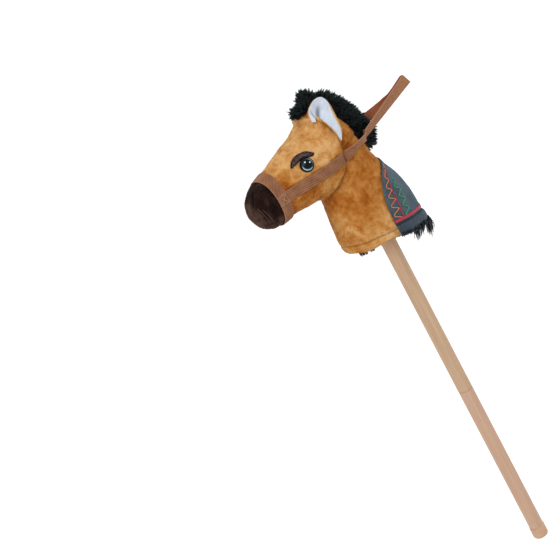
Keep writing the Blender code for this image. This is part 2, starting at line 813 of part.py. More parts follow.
def add_eyes(head_gap):
    for label, side in SIDES:
        dome = [(0.0, -EYE_SEAT_DEPTH), (EYE_DIAMETER / 2, -EYE_SEAT_DEPTH)]
        for angle in spread(0.0, 78.0, 6):
            turn = math.radians(angle)
            dome.append((EYE_DIAMETER / 2 * math.cos(turn), EYE_HEIGHT * math.sin(turn)))
        dome.append((0.0, EYE_HEIGHT))
        eye = add_object("eye_" + label, *along_eye(dome, side), EYE_BLACK)
        combine(eye, head_gap, "DIFFERENCE")
        stem = [(0.0, -EYE_STEM_LENGTH), (EYE_STEM_DIAMETER / 2, -EYE_STEM_LENGTH)]
        stem += [(EYE_STEM_DIAMETER / 2, EYE_HEIGHT / 2), (0.0, EYE_HEIGHT / 2)]
        combine(eye, add_object("eye_stem_" + label, *along_eye(stem, side, 10)), "UNION")
        top = -EYE_WASHER_DEPTH
        low = top - EYE_WASHER_THICKNESS
        rim, hole = EYE_WASHER_DIAMETER / 2, EYE_STEM_DIAMETER / 2 + FIT_GAP
        washer = [(hole, low), (rim, low), (rim, top), (hole, top), (hole, low)]
        add_object("eye_washer_" + label, *along_eye(washer, side, 16), WASHER_WHITE)


def on_head(name, outline, side, finish, thickness, head_gap, neck_gap):
    """A flat piece that lies on the head, cut to an outline seen from the side."""
    grow = SEAT_GAP + thickness
    piece = add_object(name, *loft_mesh(head_rings(grow, head_places())), finish)
    points, faces = prism_mesh(outline, HEAD_WIDTH / 8, HEAD_WIDTH)
    combine(piece, head_gap, "DIFFERENCE")
    combine(piece, add_object(name + "_outline", sided(points, side), faces), "INTERSECT")
    combine(piece, neck_gap, "DIFFERENCE")
    return piece


def add_brows(head_gap, neck_gap):
    eye_z = NECK_BASE_HEIGHT + EYE_LIFT
    outline = []
    for ahead, up in BROW_OUTLINE:
        outline.append((-EYE_FROM_AXIS - ahead * EYE_DIAMETER, eye_z + up * EYE_DIAMETER))
    for label, side in SIDES:
        on_head("brow_" + label, outline, side, PLUSH_BROWN, BROW_THICKNESS, head_gap, neck_gap)


# Ears


def ear_place(station):
    """Seam point and free edge as y and height above the neck's base, and the lean, in metres."""
    low = NECK_HEIGHT - EAR_BELOW_CREST
    places = [(-EAR_FROM_AXIS - EAR_DEPTH * ahead, low + EAR_LENGTH * up) for ahead, up in station[:2]]
    return places[0], places[1], station[2] * EAR_DEPTH


def ear_grid(side, near_share, far_share, lift, trim):
    """Grid over the ear from its seam to its free edge, cupped, and lifted off its plush back."""
    grid = []
    stations = [ear_place(station) for station in EAR_STATIONS]
    for row in range(2 * len(stations) - 1):
        place = row / 2 + trim * (1 - row / (len(stations) - 1))
        low = min(int(place), len(stations) - 2)
        part = place - low
        seam, edge = [], []
        for k in (0, 1):
            seam.append(stations[low][0][k] * (1 - part) + stations[low + 1][0][k] * part)
            edge.append(stations[low][1][k] * (1 - part) + stations[low + 1][1][k] * part)
        lean = stations[low][2] * (1 - part) + stations[low + 1][2] * part
        root_x = body_side(seam[0], seam[1])
        root = Vector((root_x, seam[0], NECK_BASE_HEIGHT + seam[1]))
        tip = Vector((root_x + lean, edge[0], NECK_BASE_HEIGHT + edge[1]))
        line = []
        for share in spread(near_share, far_share, 6):
            hollow = EAR_CUP * math.sin(math.pi * share) * math.sin(math.pi * place / (len(stations) - 1))
            point = root.lerp(tip, share)
            point.x += lift - hollow
            line.append(point)
        grid.append(line)
    return [[Vector((side * p.x, p.y, p.z)) for p in line] for line in grid]


def add_ears(head_gap, neck_gap):
    for label, side in SIDES:
        back = ear_grid(side, EAR_ROOT_SHARE, 1.0, EAR_STAND_OFF, 0.0)
        front = ear_grid(side, EAR_ROOT_SHARE, 1.0, EAR_STAND_OFF + EAR_THICKNESS, 0.0)
        ear = add_object("ear_" + label, *slab_mesh(front, back), PLUSH_TAN)
        combine(ear, head_gap, "DIFFERENCE")
        combine(ear, neck_gap, "DIFFERENCE")
        low = EAR_STAND_OFF + EAR_THICKNESS + FIT_GAP
        back = ear_grid(side, *LINING_SHARES, low, LINING_TRIM)
        front = ear_grid(side, *LINING_SHARES, low + EAR_LINING_THICKNESS, LINING_TRIM)
        lining = add_object("ear_lining_" + label, *slab_mesh(front, back), LINING_WHITE)
        combine(lining, head_gap, "DIFFERENCE")
        combine(lining, neck_gap, "DIFFERENCE")


# Mane and forelock


def add_mane(head_gap, neck_gap):
    rings = []
    for inner, outer, wide in MANE_STATIONS:
        low = Vector((0.0, inner[0] * NECK_DEPTH, NECK_BASE_HEIGHT + inner[1] * NECK_HEIGHT))
        high = Vector((0.0, outer[0] * NECK_DEPTH, NECK_BASE_HEIGHT + outer[1] * NECK_HEIGHT))
        middle, reach = (low + high) / 2, (high - low) / 2
        ring = []
        for j in range(20):
            turn = 2 * math.pi * j / 20
            point = middle + reach * rounded(math.sin(turn), 2.4)
            point.x = MANE_HALF_WIDTH * wide * rounded(math.cos(turn), 2.4)
            ring.append(point)
        rings.append(ring)
    mane = add_object("mane", *loft_mesh(rings), FUR_BLACK)
    combine(mane, neck_gap, "DIFFERENCE")
    combine(mane, head_gap, "DIFFERENCE")


def add_forelock(head_gap, neck_gap):
    rings = []
    for ahead, low, high, wide in FORELOCK_STATIONS:
        y = -FORELOCK_FROM_AXIS - ahead * FORELOCK_DEPTH
        middle = NECK_BASE_HEIGHT + NECK_HEIGHT + FORELOCK_HEIGHT * (low + high) / 2
        reach = FORELOCK_HEIGHT * (high - low) / 2
        ring = []
        for j in range(16):
            turn = 2 * math.pi * j / 16
            x = FORELOCK_HALF_WIDTH * wide * rounded(math.cos(turn), 2.2)
            ring.append(Vector((x, y, middle + reach * rounded(math.sin(turn), 2.2))))
        rings.append(ring)
    forelock = add_object("forelock", *loft_mesh(rings), FUR_BLACK)
    combine(forelock, neck_gap, "DIFFERENCE")
    combine(forelock, head_gap, "DIFFERENCE")


# Bridle


def add_noseband():
    start = NOSEBAND_FROM_AXIS + WEBBING_WIDTH / 2
    end = NOSEBAND_FROM_AXIS - WEBBING_WIDTH / 2
    inner, outer = [], []
    for ahead in spread(start, end, 3):
        inner.append([head_point(ahead, a, 2 * FIT_GAP) for a in full_turn(2 * HALF_SEGMENTS)])
        grow = 2 * FIT_GAP + WEBBING_THICKNESS
        outer.append([head_point(ahead, a, grow) for a in full_turn(2 * HALF_SEGMENTS)])
    add_object("noseband", *slab_mesh(outer, inner, wrap=True), WEBBING_BROWN)


def add_cheek_straps(head_gap, neck_gap):
    start = -(NOSEBAND_FROM_AXIS - WEBBING_WIDTH / 2 - FIT_GAP)
    middle = NECK_BASE_HEIGHT + STRAP_HEIGHT
    half = WEBBING_WIDTH / 2
    outline = [(start, middle - half), (0.0, middle - half), (0.0, middle + half), (start, middle + half)]
    for label, side in SIDES:
        on_head("cheek_strap_" + label, outline, side, WEBBING_BROWN, WEBBING_THICKNESS, head_gap, neck_gap)


def webbing_ring(place, across, normal):
    """The four corners of the webbing's section."""
    half, thick = WEBBING_WIDTH / 2, WEBBING_THICKNESS / 2
    return [
        place + across * half + normal * thick,
        place - across * half + normal * thick,
        place - across * half - normal * thick,
        place + across * half - normal * thick,
    ]


def strap_rings(route):
    """Sections along a route of places and twists, square to the route."""
    rings = []
    for i, (place, twist) in enumerate(route):
        before = route[max(i - 1, 0)][0]
        after = route[min(i + 1, len(route) - 1)][0]
        along = (after - before).normalized()
        lean = math.copysign(math.sin(math.radians(abs(twist))), twist)
        across = Vector((lean, 0.0, math.cos(math.radians(twist))))
        across = (across - along * across.dot(along)).normalized()
        rings.append(webbing_ring(place, across, along.cross(across)))
    return rings


def clear_of_neck(y, height, twist, margin):
    """How far out the middle of the webbing lies so that its whole width clears the neck."""
    lean = math.sin(math.radians(twist))
    rise = math.cos(math.radians(twist))
    widest = 0.0
    for share in spread(-1.0, 1.0, 9):
        part = share * WEBBING_WIDTH / 2
        widest = max(widest, neck_side(y, height + rise * part) - lean * part)
    return widest + WEBBING_THICKNESS / 2 + margin


def hinge_clearance(height, twist):
    """How far out the hinge lies so that the turning end of the webbing clears the neck."""
    widest = 0.0
    for turn in spread(0.0, 315.0, 8):
        y = REIN_HINGE_Y + REIN_HINGE_RADIUS * math.cos(math.radians(turn))
        widest = max(widest, neck_side(y, height + REIN_HINGE_RADIUS * math.sin(math.radians(turn))))
    return widest + math.sin(math.radians(twist)) * WEBBING_WIDTH / 2 + WEBBING_THICKNESS


def rein_end_route(side):
    route = []
    last_height = STRAP_HEIGHT + REIN_END_RISE
    last_twist = REIN_END_STATIONS[-1][2]
    seat = clear_of_neck(REIN_HINGE_Y, last_height, last_twist, 2 * SEAT_GAP)
    lift = max(hinge_clearance(last_height, last_twist) - seat, 0.0)
    for along in spread(0.0, 1.0, 14):
        rise, twist = smooth_row(REIN_END_STATIONS, along)
        y = (REIN_HINGE_Y + REIN_END_AHEAD) * along - REIN_END_AHEAD
        height = STRAP_HEIGHT + REIN_END_RISE * rise
        x = clear_of_neck(y, height, twist, 2 * SEAT_GAP) + lift * along * along
        route.append((Vector((side * x, y, NECK_BASE_HEIGHT + height)), side * twist))
    return route


def rein_hinge():
    """Where the reins leave the neck: the middle of the strand on the left side."""
    return rein_end_route(1)[-1][0]


def reins_route():
    start = rein_hinge()
    half = []
    for share in spread(0.0, 1.0, 20):
        inward, rise, twist = smooth_row(REIN_STATIONS, share)
        end_x = REIN_END_GAP
        x = start.x + (end_x - start.x) * inward
        y = start.y + REIN_LENGTH * share
        z = start.z + REIN_LOOP_RISE * rise
        half.append((Vector((x, y, z)), twist))
    before = half[1][0] - half[0][0]
    lead = half[0][0] - before.normalized() * REIN_HINGE_RADIUS
    half.insert(0, (lead, half[0][1]))
    tip = half[-1][0]
    turn_radius = REIN_END_GAP
    bend = []
    for angle in spread(20.0, 90.0, 3):
        t = math.radians(angle)
        place = Vector((turn_radius * math.cos(t), tip.y + turn_radius * math.sin(t), tip.z))
        bend.append((place, 0.0))
    left = half + bend
    right = [(Vector((-p.x, p.y, p.z)), -twist) for p, twist in reversed(left[:-1])]
    return left + right


def behind_hinge(radius, segments):
    """Outline of all that lies behind the hinge, rounded about it in front."""
    hinge = rein_hinge()
    far, tall = hinge.y + 2 * REIN_LENGTH, NECK_HEIGHT
    outline = [(hinge.y, hinge.z + tall)]
    for j in range(segments // 2 + 1):
        t = math.radians(90.0 + 360.0 * j / segments)
        outline.append((hinge.y + radius * math.cos(t), hinge.z + radius * math.sin(t)))
    return outline + [(hinge.y, hinge.z - tall), (far, hinge.z - tall), (far, hinge.z + tall)]


def add_reins(reins_body, head_strap_gap):
    hinge = rein_hinge()
    segments = 32
    reach = NECK_WIDTH
    for label, side in SIDES:
        strap = add_object("rein_end_" + label, *loft_mesh(strap_rings(rein_end_route(side))), WEBBING_BROWN)
        combine(strap, head_strap_gap, "DIFFERENCE")
        round_room = behind_hinge(REIN_HINGE_RADIUS + FIT_GAP, segments)
        points, faces = prism_mesh(round_room, 0.002, reach)
        combine(strap, add_object("rein_turning_room_" + label, sided(points, side), faces), "DIFFERENCE")
    origin = (0.0, hinge.y, hinge.z)
    points, faces = loft_mesh(strap_rings(reins_route()))
    reins = add_object("reins", points, faces, WEBBING_BROWN, parent=reins_body, location=origin)
    points, faces = prism_mesh(behind_hinge(REIN_HINGE_RADIUS, segments), -reach, reach)
    combine(reins, add_object("reins_room", points, faces), "INTERSECT")


# Blanket


def blanket_reach(share):
    """How far round the neck the blanket reaches at a share of its own height, near and far side."""
    round_top = math.sqrt(max(1.0 - share**4, 0.0))
    return max(BLANKET_NEAR_REACH * round_top, 5.0), max(BLANKET_FAR_REACH * round_top, 5.0)


def blanket_point(height, across, grow):
    """Point on the blanket: height above its hem in metres, place from -1 (near) to 1 (far)."""
    share = min(max(height / BLANKET_HEIGHT, 0.0), 1.0)
    near, far = blanket_reach(share)
    angle = 90.0 + across * (near if across < 0 else far)
    loose = (1.0 - share) ** 1.5
    wave = 0.5 - 0.5 * math.cos(2 * math.pi * BLANKET_FOLDS * (across + 1) / 2)
    fold = BLANKET_FOLD_DEPTH * loose * wave
    return neck_point(height / NECK_HEIGHT, angle, BLANKET_STAND_OFF + fold + grow)


def blanket_strip(low, high, grow, thickness, rows, columns=BLANKET_COLUMNS, near=-1.0, far=1.0):
    """Closed strip that follows the blanket's folds between two heights."""
    outer, inner = [], []
    for height in spread(low, high, rows):
        places = spread(near, far, columns)
        outer.append([blanket_point(height, u, grow + thickness) for u in places])
        inner.append([blanket_point(height, u, grow) for u in places])
    return slab_mesh(outer, inner)


def add_blanket():
    straight = [s * NECK_HEIGHT for s in neck_shares() if s < 0.6 * BLANKET_TOP_SHARE]
    widest = math.sqrt(1.0 - (straight[-1] / BLANKET_HEIGHT) ** 4)
    arch = [BLANKET_HEIGHT * (1.0 - r**2) ** 0.25 for r in spread(widest, 0.0, BLANKET_ROWS)[1:]]
    outer, inner = [], []
    for height in straight + arch:
        places = spread(-1.0, 1.0, BLANKET_COLUMNS)
        outer.append([blanket_point(height, u, BLANKET_THICKNESS) for u in places])
        inner.append([blanket_point(height, u, 0.0) for u in places])
    add_object("blanket", *slab_mesh(outer, inner), CLOTH_BLUE)
    grow = BLANKET_THICKNESS + FIT_GAP
    points, faces = blanket_strip(0.0, HEM_HEIGHT, grow, HEM_THICKNESS, 3)
    add_object("blanket_hem", points, faces, CLOTH_HEM)
    low = RIBBON_HEIGHT - RIBBON_WIDTH / 2
    points, faces = blanket_strip(low, RIBBON_HEIGHT + RIBBON_WIDTH / 2, grow, RIBBON_THICKNESS, 2)
    add_object("blanket_ribbon", points, faces, RIBBON_CRIMSON)


def on_blanket(height, across, grow):
    """Point on the straight run between two of the blanket's columns, so that trims lie flat on it."""
    step = 2.0 / (BLANKET_COLUMNS - 1)
    column = min(int((across + 1.0) / step), BLANKET_COLUMNS - 2)
    first = -1.0 + column * step
    left = blanket_point(height, first, grow)
    right = blanket_point(height, first + step, grow)
    return left.lerp(right, (across - first) / step)


def add_braids():
    finishes = {"braid_orange": BRAID_ORANGE, "braid_red": BRAID_RED, "braid_green": BRAID_GREEN}
    start = RIBBON_HEIGHT + RIBBON_WIDTH / 2 + BRAID_WIDTH / 2
    arc_length = math.radians(BLANKET_NEAR_REACH) * NECK_DEPTH / 2
    low = BLANKET_THICKNESS + SEAT_GAP
    for name, lower, upper, top_share, zigzag in BRAIDS:
        top = top_share * BLANKET_HEIGHT
        rows = 1 + 6 * round((top - start) / ZIGZAG_PITCH) if zigzag else 7
        for label, side in (("near", 1), ("far", -1)):
            outer, inner = [], []
            for i, height in enumerate(spread(start, top, rows)):
                turn = 2 * math.pi * i / 6
                depth = ZIGZAG_DEPTH if zigzag else 0.0
                offset = depth * math.sin(turn)
                slope = depth * math.cos(turn) * 2 * math.pi / ZIGZAG_PITCH
                middle = lower + (upper - lower) * i / (rows - 1)
                length = math.hypot(1.0, slope)
                edges = []
                for edge in (-BRAID_WIDTH / 2, BRAID_WIDTH / 2):
                    across = side * (middle + (offset + edge / length) / arc_length)
                    edges.append((height - edge * slope / length, across))
                outer.append([on_blanket(h, u, low + BRAID_THICKNESS) for h, u in edges])
                inner.append([on_blanket(h, u, low) for h, u in edges])
            add_object(name + "_" + label, *slab_mesh(outer, inner), finishes[name])


def add_fringe():
    """Cut strips that hang below the hem; the header hangs edge to edge with the hem's lower edge."""
    outer, inner = [], []
    columns = 2 * FRINGE_STRIPS + 1
    for row, share in enumerate((0.0, 0.3, 1.0)):
        front, back = [], []
        for j, across in enumerate(spread(-0.985, 0.985, columns)):
            deep = FRINGE_NOTCH_SHARE if row == 2 and j % 2 == 0 else share
            length = FRINGE_LENGTH * smooth_row(FRINGE_STATIONS, across)[0]
            drop = -FIT_GAP - length * deep * (1.0 + FRINGE_UNEVEN_SHARE * math.sin(2.3 * j))
            flare = FRINGE_FLARE * deep
            front.append(blanket_point(drop, across, BLANKET_THICKNESS + FRINGE_THICKNESS + flare))
            back.append(blanket_point(drop, across, BLANKET_THICKNESS + flare))
        outer.append(front)
        inner.append(back)
    add_object("blanket_fringe", *slab_mesh(outer, inner), FRINGE_BLACK)


def main():
    clear_scene()
    lower_body = add_empty("lower_pole_slide", (0.0, 0.0, POLE_JOINT_HEIGHT))
    hinge = rein_hinge()
    reins_body = add_empty("reins_hinge", (0.0, hinge.y, hinge.z))
    head_gap = head_room("head_room", SEAT_GAP)
    neck_gap = neck_room("neck_room", SEAT_GAP)
    head_strap_gap = head_room("strap_room", 2 * SEAT_GAP + WEBBING_THICKNESS)
    pole_bore = pole_room()
    add_pole(lower_body)
    add_foot_cap(lower_body)
    add_top_cap()
    add_neck(pole_bore)
    add_head(neck_gap)
    add_eyes(head_gap)
    add_brows(head_gap, neck_gap)
    add_ears(head_gap, neck_gap)
    add_mane(head_gap, neck_gap)
    add_forelock(head_gap, neck_gap)
    add_noseband()
    add_cheek_straps(head_gap, neck_gap)
    add_reins(reins_body, head_strap_gap)
    add_blanket()
    add_braids()
    add_fringe()


main()
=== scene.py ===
import math

import bpy
import numpy as np
from mathutils import Matrix, Vector


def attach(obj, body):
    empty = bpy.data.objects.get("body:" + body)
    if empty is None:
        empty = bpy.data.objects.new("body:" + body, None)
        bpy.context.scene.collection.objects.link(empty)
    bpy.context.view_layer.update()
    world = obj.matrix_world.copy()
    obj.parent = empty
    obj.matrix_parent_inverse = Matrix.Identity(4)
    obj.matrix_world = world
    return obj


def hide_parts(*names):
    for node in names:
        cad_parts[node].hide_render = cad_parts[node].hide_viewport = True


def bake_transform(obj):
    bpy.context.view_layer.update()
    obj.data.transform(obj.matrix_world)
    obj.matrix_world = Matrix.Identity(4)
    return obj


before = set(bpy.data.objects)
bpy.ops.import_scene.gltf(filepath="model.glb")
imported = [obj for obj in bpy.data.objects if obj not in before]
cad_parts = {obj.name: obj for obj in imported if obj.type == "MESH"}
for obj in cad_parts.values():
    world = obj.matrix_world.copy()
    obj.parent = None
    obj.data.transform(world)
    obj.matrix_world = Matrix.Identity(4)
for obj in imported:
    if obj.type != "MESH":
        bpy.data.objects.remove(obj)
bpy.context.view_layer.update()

# Sizes of the CAD model, in metres: it stands on its foot at the origin and faces -Y, its left side is +X
SEAT_GAP = 0.0005
NECK_BASE_HEIGHT = 0.677
NECK_HEIGHT = 0.274
NECK_DEPTH = 0.162
NECK_WIDTH = 0.120
NECK_BASE_ANGLE = 10.76
NECK_OVAL_RATIO = 2.2
RIDGE_HALF_WIDTH = 0.0036
HEAD_LENGTH = 0.212
HEAD_WIDTH = 0.112
HEAD_HEIGHT = 0.139
HEAD_BELOW_CREST = 0.011
HEAD_OVAL_RATIO = 2.25
HEAD_TIP_RADIUS = 0.0004
MUZZLE_SEAM_FROM_AXIS = 0.160
WEBBING_WIDTH = 0.020
WEBBING_THICKNESS = 0.002
NOSEBAND_FROM_AXIS = 0.1625
STRAP_ABOVE_JAW = 0.051
REIN_HINGE_Y = 0.036
REIN_HINGE_RADIUS = 0.008
REIN_END_AHEAD = 0.026
REIN_END_RISE = 0.006
REIN_LENGTH = 0.1453
REIN_LOOP_RISE = 0.029
REIN_END_GAP = 0.003
EYE_DIAMETER = 0.025
EYE_HEIGHT = 0.008
EYE_SEAT_DEPTH = 0.004
EYE_FROM_AXIS = 0.098
EYE_ABOVE_STRAP = 0.028
BROW_THICKNESS = 0.0015
EAR_LENGTH = 0.0815
EAR_DEPTH = 0.040
EAR_FROM_AXIS = 0.004
EAR_BELOW_CREST = 0.074
EAR_THICKNESS = 0.0026
EAR_LINING_THICKNESS = 0.0012
EAR_STAND_OFF = 0.0015
EAR_CUP = 0.004
MANE_HALF_WIDTH = 0.017
FORELOCK_HALF_WIDTH = 0.016
FORELOCK_HEIGHT = 0.053
FORELOCK_DEPTH = 0.0545
BLANKET_THICKNESS = 0.002
BLANKET_TOP_SHARE = 0.485
BLANKET_NEAR_REACH = 92.0
BLANKET_FAR_REACH = 112.0
BLANKET_FOLD_DEPTH = 0.0035
BLANKET_FOLDS = 5
BLANKET_STAND_OFF = 0.0009
HEM_HEIGHT = 0.022
HEM_THICKNESS = 0.002
RIBBON_HEIGHT = 0.030
RIBBON_WIDTH = 0.005
RIBBON_THICKNESS = 0.001
FRINGE_LENGTH = 0.022
ZIGZAG_PITCH = 0.0170
POLE_RADIUS = 0.014
NECK_BASE_SLANT = math.tan(math.radians(NECK_BASE_ANGLE))
HEAD_LIFT = NECK_HEIGHT - HEAD_BELOW_CREST - HEAD_HEIGHT
STRAP_HEIGHT = HEAD_LIFT + STRAP_ABOVE_JAW
EYE_LIFT = STRAP_HEIGHT + EYE_ABOVE_STRAP
BLANKET_HEIGHT = BLANKET_TOP_SHARE * NECK_HEIGHT

# Sizes that only the dressed model has
SIDES = (("left", 1), ("right", -1))
PLUSH_VOXEL = 0.0018
PLUSH_HAIRS = 170000
MUZZLE_HAIRS = 42000
BROW_HAIRS = 5200
EAR_HAIRS = 9000
PLUSH_LENGTH = 0.0026
PLUSH_WIDTH = 0.00052
MUZZLE_PILE_LENGTH = 0.0021
BROW_PILE_LENGTH = 0.0022
EAR_PILE_LENGTHS = (0.0014, 0.0022)
PILE_WIDTH = 0.0005
# How far along a hair its root looks: painted shade at the foot of the pile
PILE_ROOT_SHADE = 0.3
FUR_WIDTH = 0.00085
MANE_FUR_LENGTH = 0.0084
FORELOCK_FUR_LENGTH = 0.0098
NECK_HEM_HEIGHT = 0.0155
NECK_HEM_DEPTH = 0.0021
NECK_HEM_SAG = 0.0085
JAW_FOLD_WIDTH = 0.0026
JAW_FOLD_DEPTH = 0.0034
MIDDLE_SEAM_FROM_AXIS = 0.186
MIDDLE_SEAM_DEPTH = 0.0022
MOUTH_LINE_DEPTH = 0.0014
MOUTH_THREAD_RADIUS = 0.00038
EYE_RIM_HEIGHT = 0.0012
EAR_ROOT_SHARE = -0.12
LINING_SHARES = (0.02, 0.93)
LINING_TRIM = 0.15
FAR_LOBE_BACK = 0.22
STRAP_DIP = 0.0035
REIN_FOLD_SKEW = 0.36
# How far the UV of the webbing's reverse side is shifted; that side is darkened by painted shade
REVERSE = 0.1
NOSEBAND_GAP = 0.0006
STITCH_PITCH = 0.0027
STITCH_LENGTH = 0.0021
STITCH_RADIUS = 0.00036
BLANKET_ARCH = 5
FIBRE_DRAWN_IN = 0.0062
TRIM_GAP = 0.0003
WAVE_DEPTH = 0.0054
CORD_RADIUS = 0.00086

# Black tufts that hang below the neck on its far side, their black partly the fringe's own dark colour and
# partly painted
# shade: middle and half width of each along Y, and the places (x, z) where all start and end
FAR_TABS = ((-0.024, 0.0075), (-0.005, 0.0050))
FAR_TAB_TOP = (-0.0615, 0.687)
FAR_TAB_END = (-0.0555, 0.6475)

# Stage
CAMERA_PLACE = (2.1839, -1.2387, 1.5204)
CAMERA_RIGHT = (0.5038, 0.7306, -0.4610)
CAMERA_AHEAD = (-0.8630, 0.4024, -0.3053)
CAMERA_LENS = 98.18
CAMERA_SENSOR = 36.0
WHITE = (1.0, 1.0, 1.0, 1.0)
WORLD_LIGHT = 0.62
FLOOR_GLOW = 0.62
FLOOR_REACH = 30.0
LAMP_AIM = (0.0, -0.05, 0.75)
LAMPS = (
    ("key_lamp", (1.6, -1.6, 2.3), 1.4, 24.0), ("side_lamp", (0.6, 2.0, 1.8), 1.2, 9.0),
    ("back_lamp", (-1.8, 0.3, 2.0), 1.4, 9.0),
)

# Shape of the neck: share of its height, front and rear as shares of half its depth, half-width as a share
NECK_STATIONS = (
    (0.0, -0.985, 0.925, 0.985), (0.08, -1.0, 0.955, 0.985), (0.23, -0.965, 0.94, 0.96),
    (0.358, -0.915, 0.805, 0.91), (0.449, -0.868, 0.655, 0.848), (0.536, -0.85, 0.565, 0.815),
    (0.613, -0.795, 0.5, 0.785), (0.686, -0.745, 0.4, 0.755), (0.777, -0.69, 0.305, 0.715),
    (0.85, -0.64, 0.17, 0.65), (0.923, -0.57, 0.045, 0.545), (0.975, -0.475, -0.075, 0.365),
    (1.0, -0.395, -0.15, 0.06),
)

# Where the neck's lower edge turns in: share of its height, and growth of the section
NECK_TUCK = (
    (-0.005, -0.040), (-0.005, -0.020), (-0.005, -0.0065), (0.002, -0.0032), (0.012, -0.0004), (0.030, 0.0),
)

# Shape of the head: distance in front of the axis as a share of its length, low and high edge as shares
# of its height, half-width as a share
HEAD_STATIONS = (
    (1.0, 0.33, 0.352, 0.04), (0.988, 0.245, 0.437, 0.26), (0.965, 0.178, 0.502, 0.42),
    (0.92, 0.101, 0.583, 0.575), (0.858, 0.06, 0.633, 0.66), (0.802, 0.055, 0.655, 0.69),
    (0.755, 0.058, 0.676, 0.7), (0.684, 0.065, 0.705, 0.725), (0.566, 0.05, 0.763, 0.82),
    (0.448, 0.04, 0.82, 0.925), (0.33, 0.0, 0.87, 0.99), (0.236, 0.0, 0.942, 1.0), (0.189, 0.03, 0.985, 0.98),
    (0.142, 0.08, 1.0, 0.93), (0.104, 0.15, 0.97, 0.85), (0.071, 0.24, 0.925, 0.73), (0.038, 0.35, 0.85, 0.6),
    (0.0, 0.5, 0.75, 0.45),
)

# Inner and outer edge of the mane, as shares of the neck's depth and height, and share of its half-width
MANE_STATIONS = (
    ((-0.056, 0.971), (-0.037, 1.026), 0.55), ((-0.012, 0.934), (0.062, 1.033), 0.8),
    ((0.025, 0.887), (0.16, 1.004), 1.0), ((0.05, 0.829), (0.259, 0.949), 1.0),
    ((0.085, 0.768), (0.346, 0.883), 1.0), ((0.12, 0.704), (0.395, 0.825), 1.0),
    ((0.145, 0.65), (0.432, 0.752), 1.0), ((0.16, 0.608), (0.488, 0.686), 1.0),
    ((0.165, 0.58), (0.488, 0.613), 0.95), ((0.17, 0.545), (0.426, 0.558), 0.8),
    ((0.2, 0.516), (0.37, 0.526), 0.5),
)

# Forelock: place along its depth, low and high edge above the crest in its heights, share of half-width
FORELOCK_STATIONS = (
    (0.98, -0.1, 0.02, 0.35), (0.82, -0.17, 0.06, 0.75), (0.62, -0.24, 0.08, 1.3), (0.42, -0.31, 0.17, 1.45),
    (0.25, -0.36, 0.58, 1.35), (0.11, -0.28, 0.42, 1.0), (0.03, -0.16, -0.02, 0.35),
)
FORELOCK_CENTRE = (0.0, -0.020, NECK_BASE_HEIGHT + NECK_HEIGHT - 0.014)

# Ear: seam and free edge as shares of its depth and length, and the edge's lean outward in its depths
EAR_STATIONS = (
    ((0.388, 0.0), (0.362, 0.012), 0.012), ((0.412, 0.221), (0.112, 0.221), 0.075),
    ((0.45, 0.393), (0.038, 0.491), 0.1), ((0.512, 0.54), (-0.09, 0.725), 0.025),
    ((0.575, 0.613), (-0.155, 0.86), -0.125), ((0.638, 0.663), (-0.03, 0.975), -0.225),
    ((0.712, 0.687), (0.4, 0.985), -0.15), ((0.752, 0.676), (0.905, 0.862), 0.0),
    ((0.89, 0.612), (1.07, 0.642), 0.025),
)

# Brow patch: outline from the eye's middle, ahead and up, in eye diameters; its first five points are its top
BROW_OUTLINE = (
    (1.0, 0.3), (0.66, 0.64), (0.1, 0.82), (-0.46, 0.74), (-0.84, 0.38), (-0.66, 0.28), (-0.42, 0.35),
    (-0.05, 0.46), (0.34, 0.42), (0.7, 0.33),
)

# Eye's painted highlights: middle and size in eye radii
EYE_HIGHLIGHTS = ((-0.17, 0.42, 0.135), (0.40, 0.10, 0.12))

# Fold between cheek and neck, on the left side
JAW_FOLD = (
    (0.044, -0.0185, 0.884), (0.0465, -0.0215, 0.874), (0.0475, -0.0255, 0.8473), (0.046, -0.0365, 0.8284),
    (0.0383, -0.0552, 0.8122), (0.024, -0.068, 0.804), (0.0, -0.08, 0.795),
)

# Muzzle: the seam's distance to the left by height, and the sewn lines on its left side
MUZZLE_SEAM = (
    (0.815, 0.004), (0.833, -0.001), (0.848, 0.007), (0.863, 0.0145), (0.875, 0.0135), (0.89, 0.006),
)
MOUTH_LINES = (
    ((0.0215, -0.2035, 0.861), (0.0262, -0.2015, 0.848), (0.0268, -0.199, 0.836), (0.024, -0.1965, 0.827)),
    ((0.0285, -0.2, 0.856), (0.0325, -0.1975, 0.8455), (0.0325, -0.195, 0.835), (0.03, -0.1925, 0.827)),
)

# Rein end on the neck: share of its length, share of its rise, twist in degrees
REIN_END_STATIONS = (
    (0.0, 0.0, 4.0), (0.161, 0.32, 22.0), (0.355, 0.78, 38.0), (0.581, 1.1, 43.0), (0.774, 1.15, 42.0),
    (1.0, 1.0, 37.0),
)

# Reins behind the hinge: share of their length, the far strand's way over to the near one, both twists
REIN_STATIONS = (
    (0.0, 0.0, 37.0, -37.0), (0.1, 0.107, 33.0, -48.0), (0.2, 0.225, 30.0, -54.0), (0.33, 0.4, 25.0, -54.0),
    (0.46, 0.65, 20.0, -50.0), (0.55, 0.86, 17.0, -38.0), (0.62, 1.0, 14.0, -4.0), (0.72, 1.0, 10.0, 10.0),
    (0.87, 1.0, 4.0, 4.0), (1.0, 1.0, -5.0, -5.0),
)

# Braids on the blanket: name, places across at both ends, upper end as a share of the blanket
BRAIDS = (
    ("braid_orange", -0.945, -0.865, 0.94), ("braid_red", -0.885, -0.83, 0.92),
    ("braid_green", -0.79, -0.724, 0.745),
)

# Fringe: place across the blanket, share of its length and how far its wisps flare there
FRINGE_STATIONS = (
    (-1.0, 0.05, 0.0), (-0.9, 0.05, 0.0), (-0.86, 0.3, 0.05), (-0.81, 1.12, 0.05), (-0.76, 0.95, 0.05),
    (-0.66, 0.4, 0.15), (-0.54, 0.45, 0.15), (-0.52, 1.25, 0.05), (-0.44, 1.38, 0.05), (-0.32, 0.7, 0.1),
    (0.0, 0.9, 0.15), (0.6, 1.05, 0.1), (0.74, 1.1, 0.0), (0.8, 0.6, 0.0), (1.0, 0.45, 0.0),
)


# Tables and surfaces


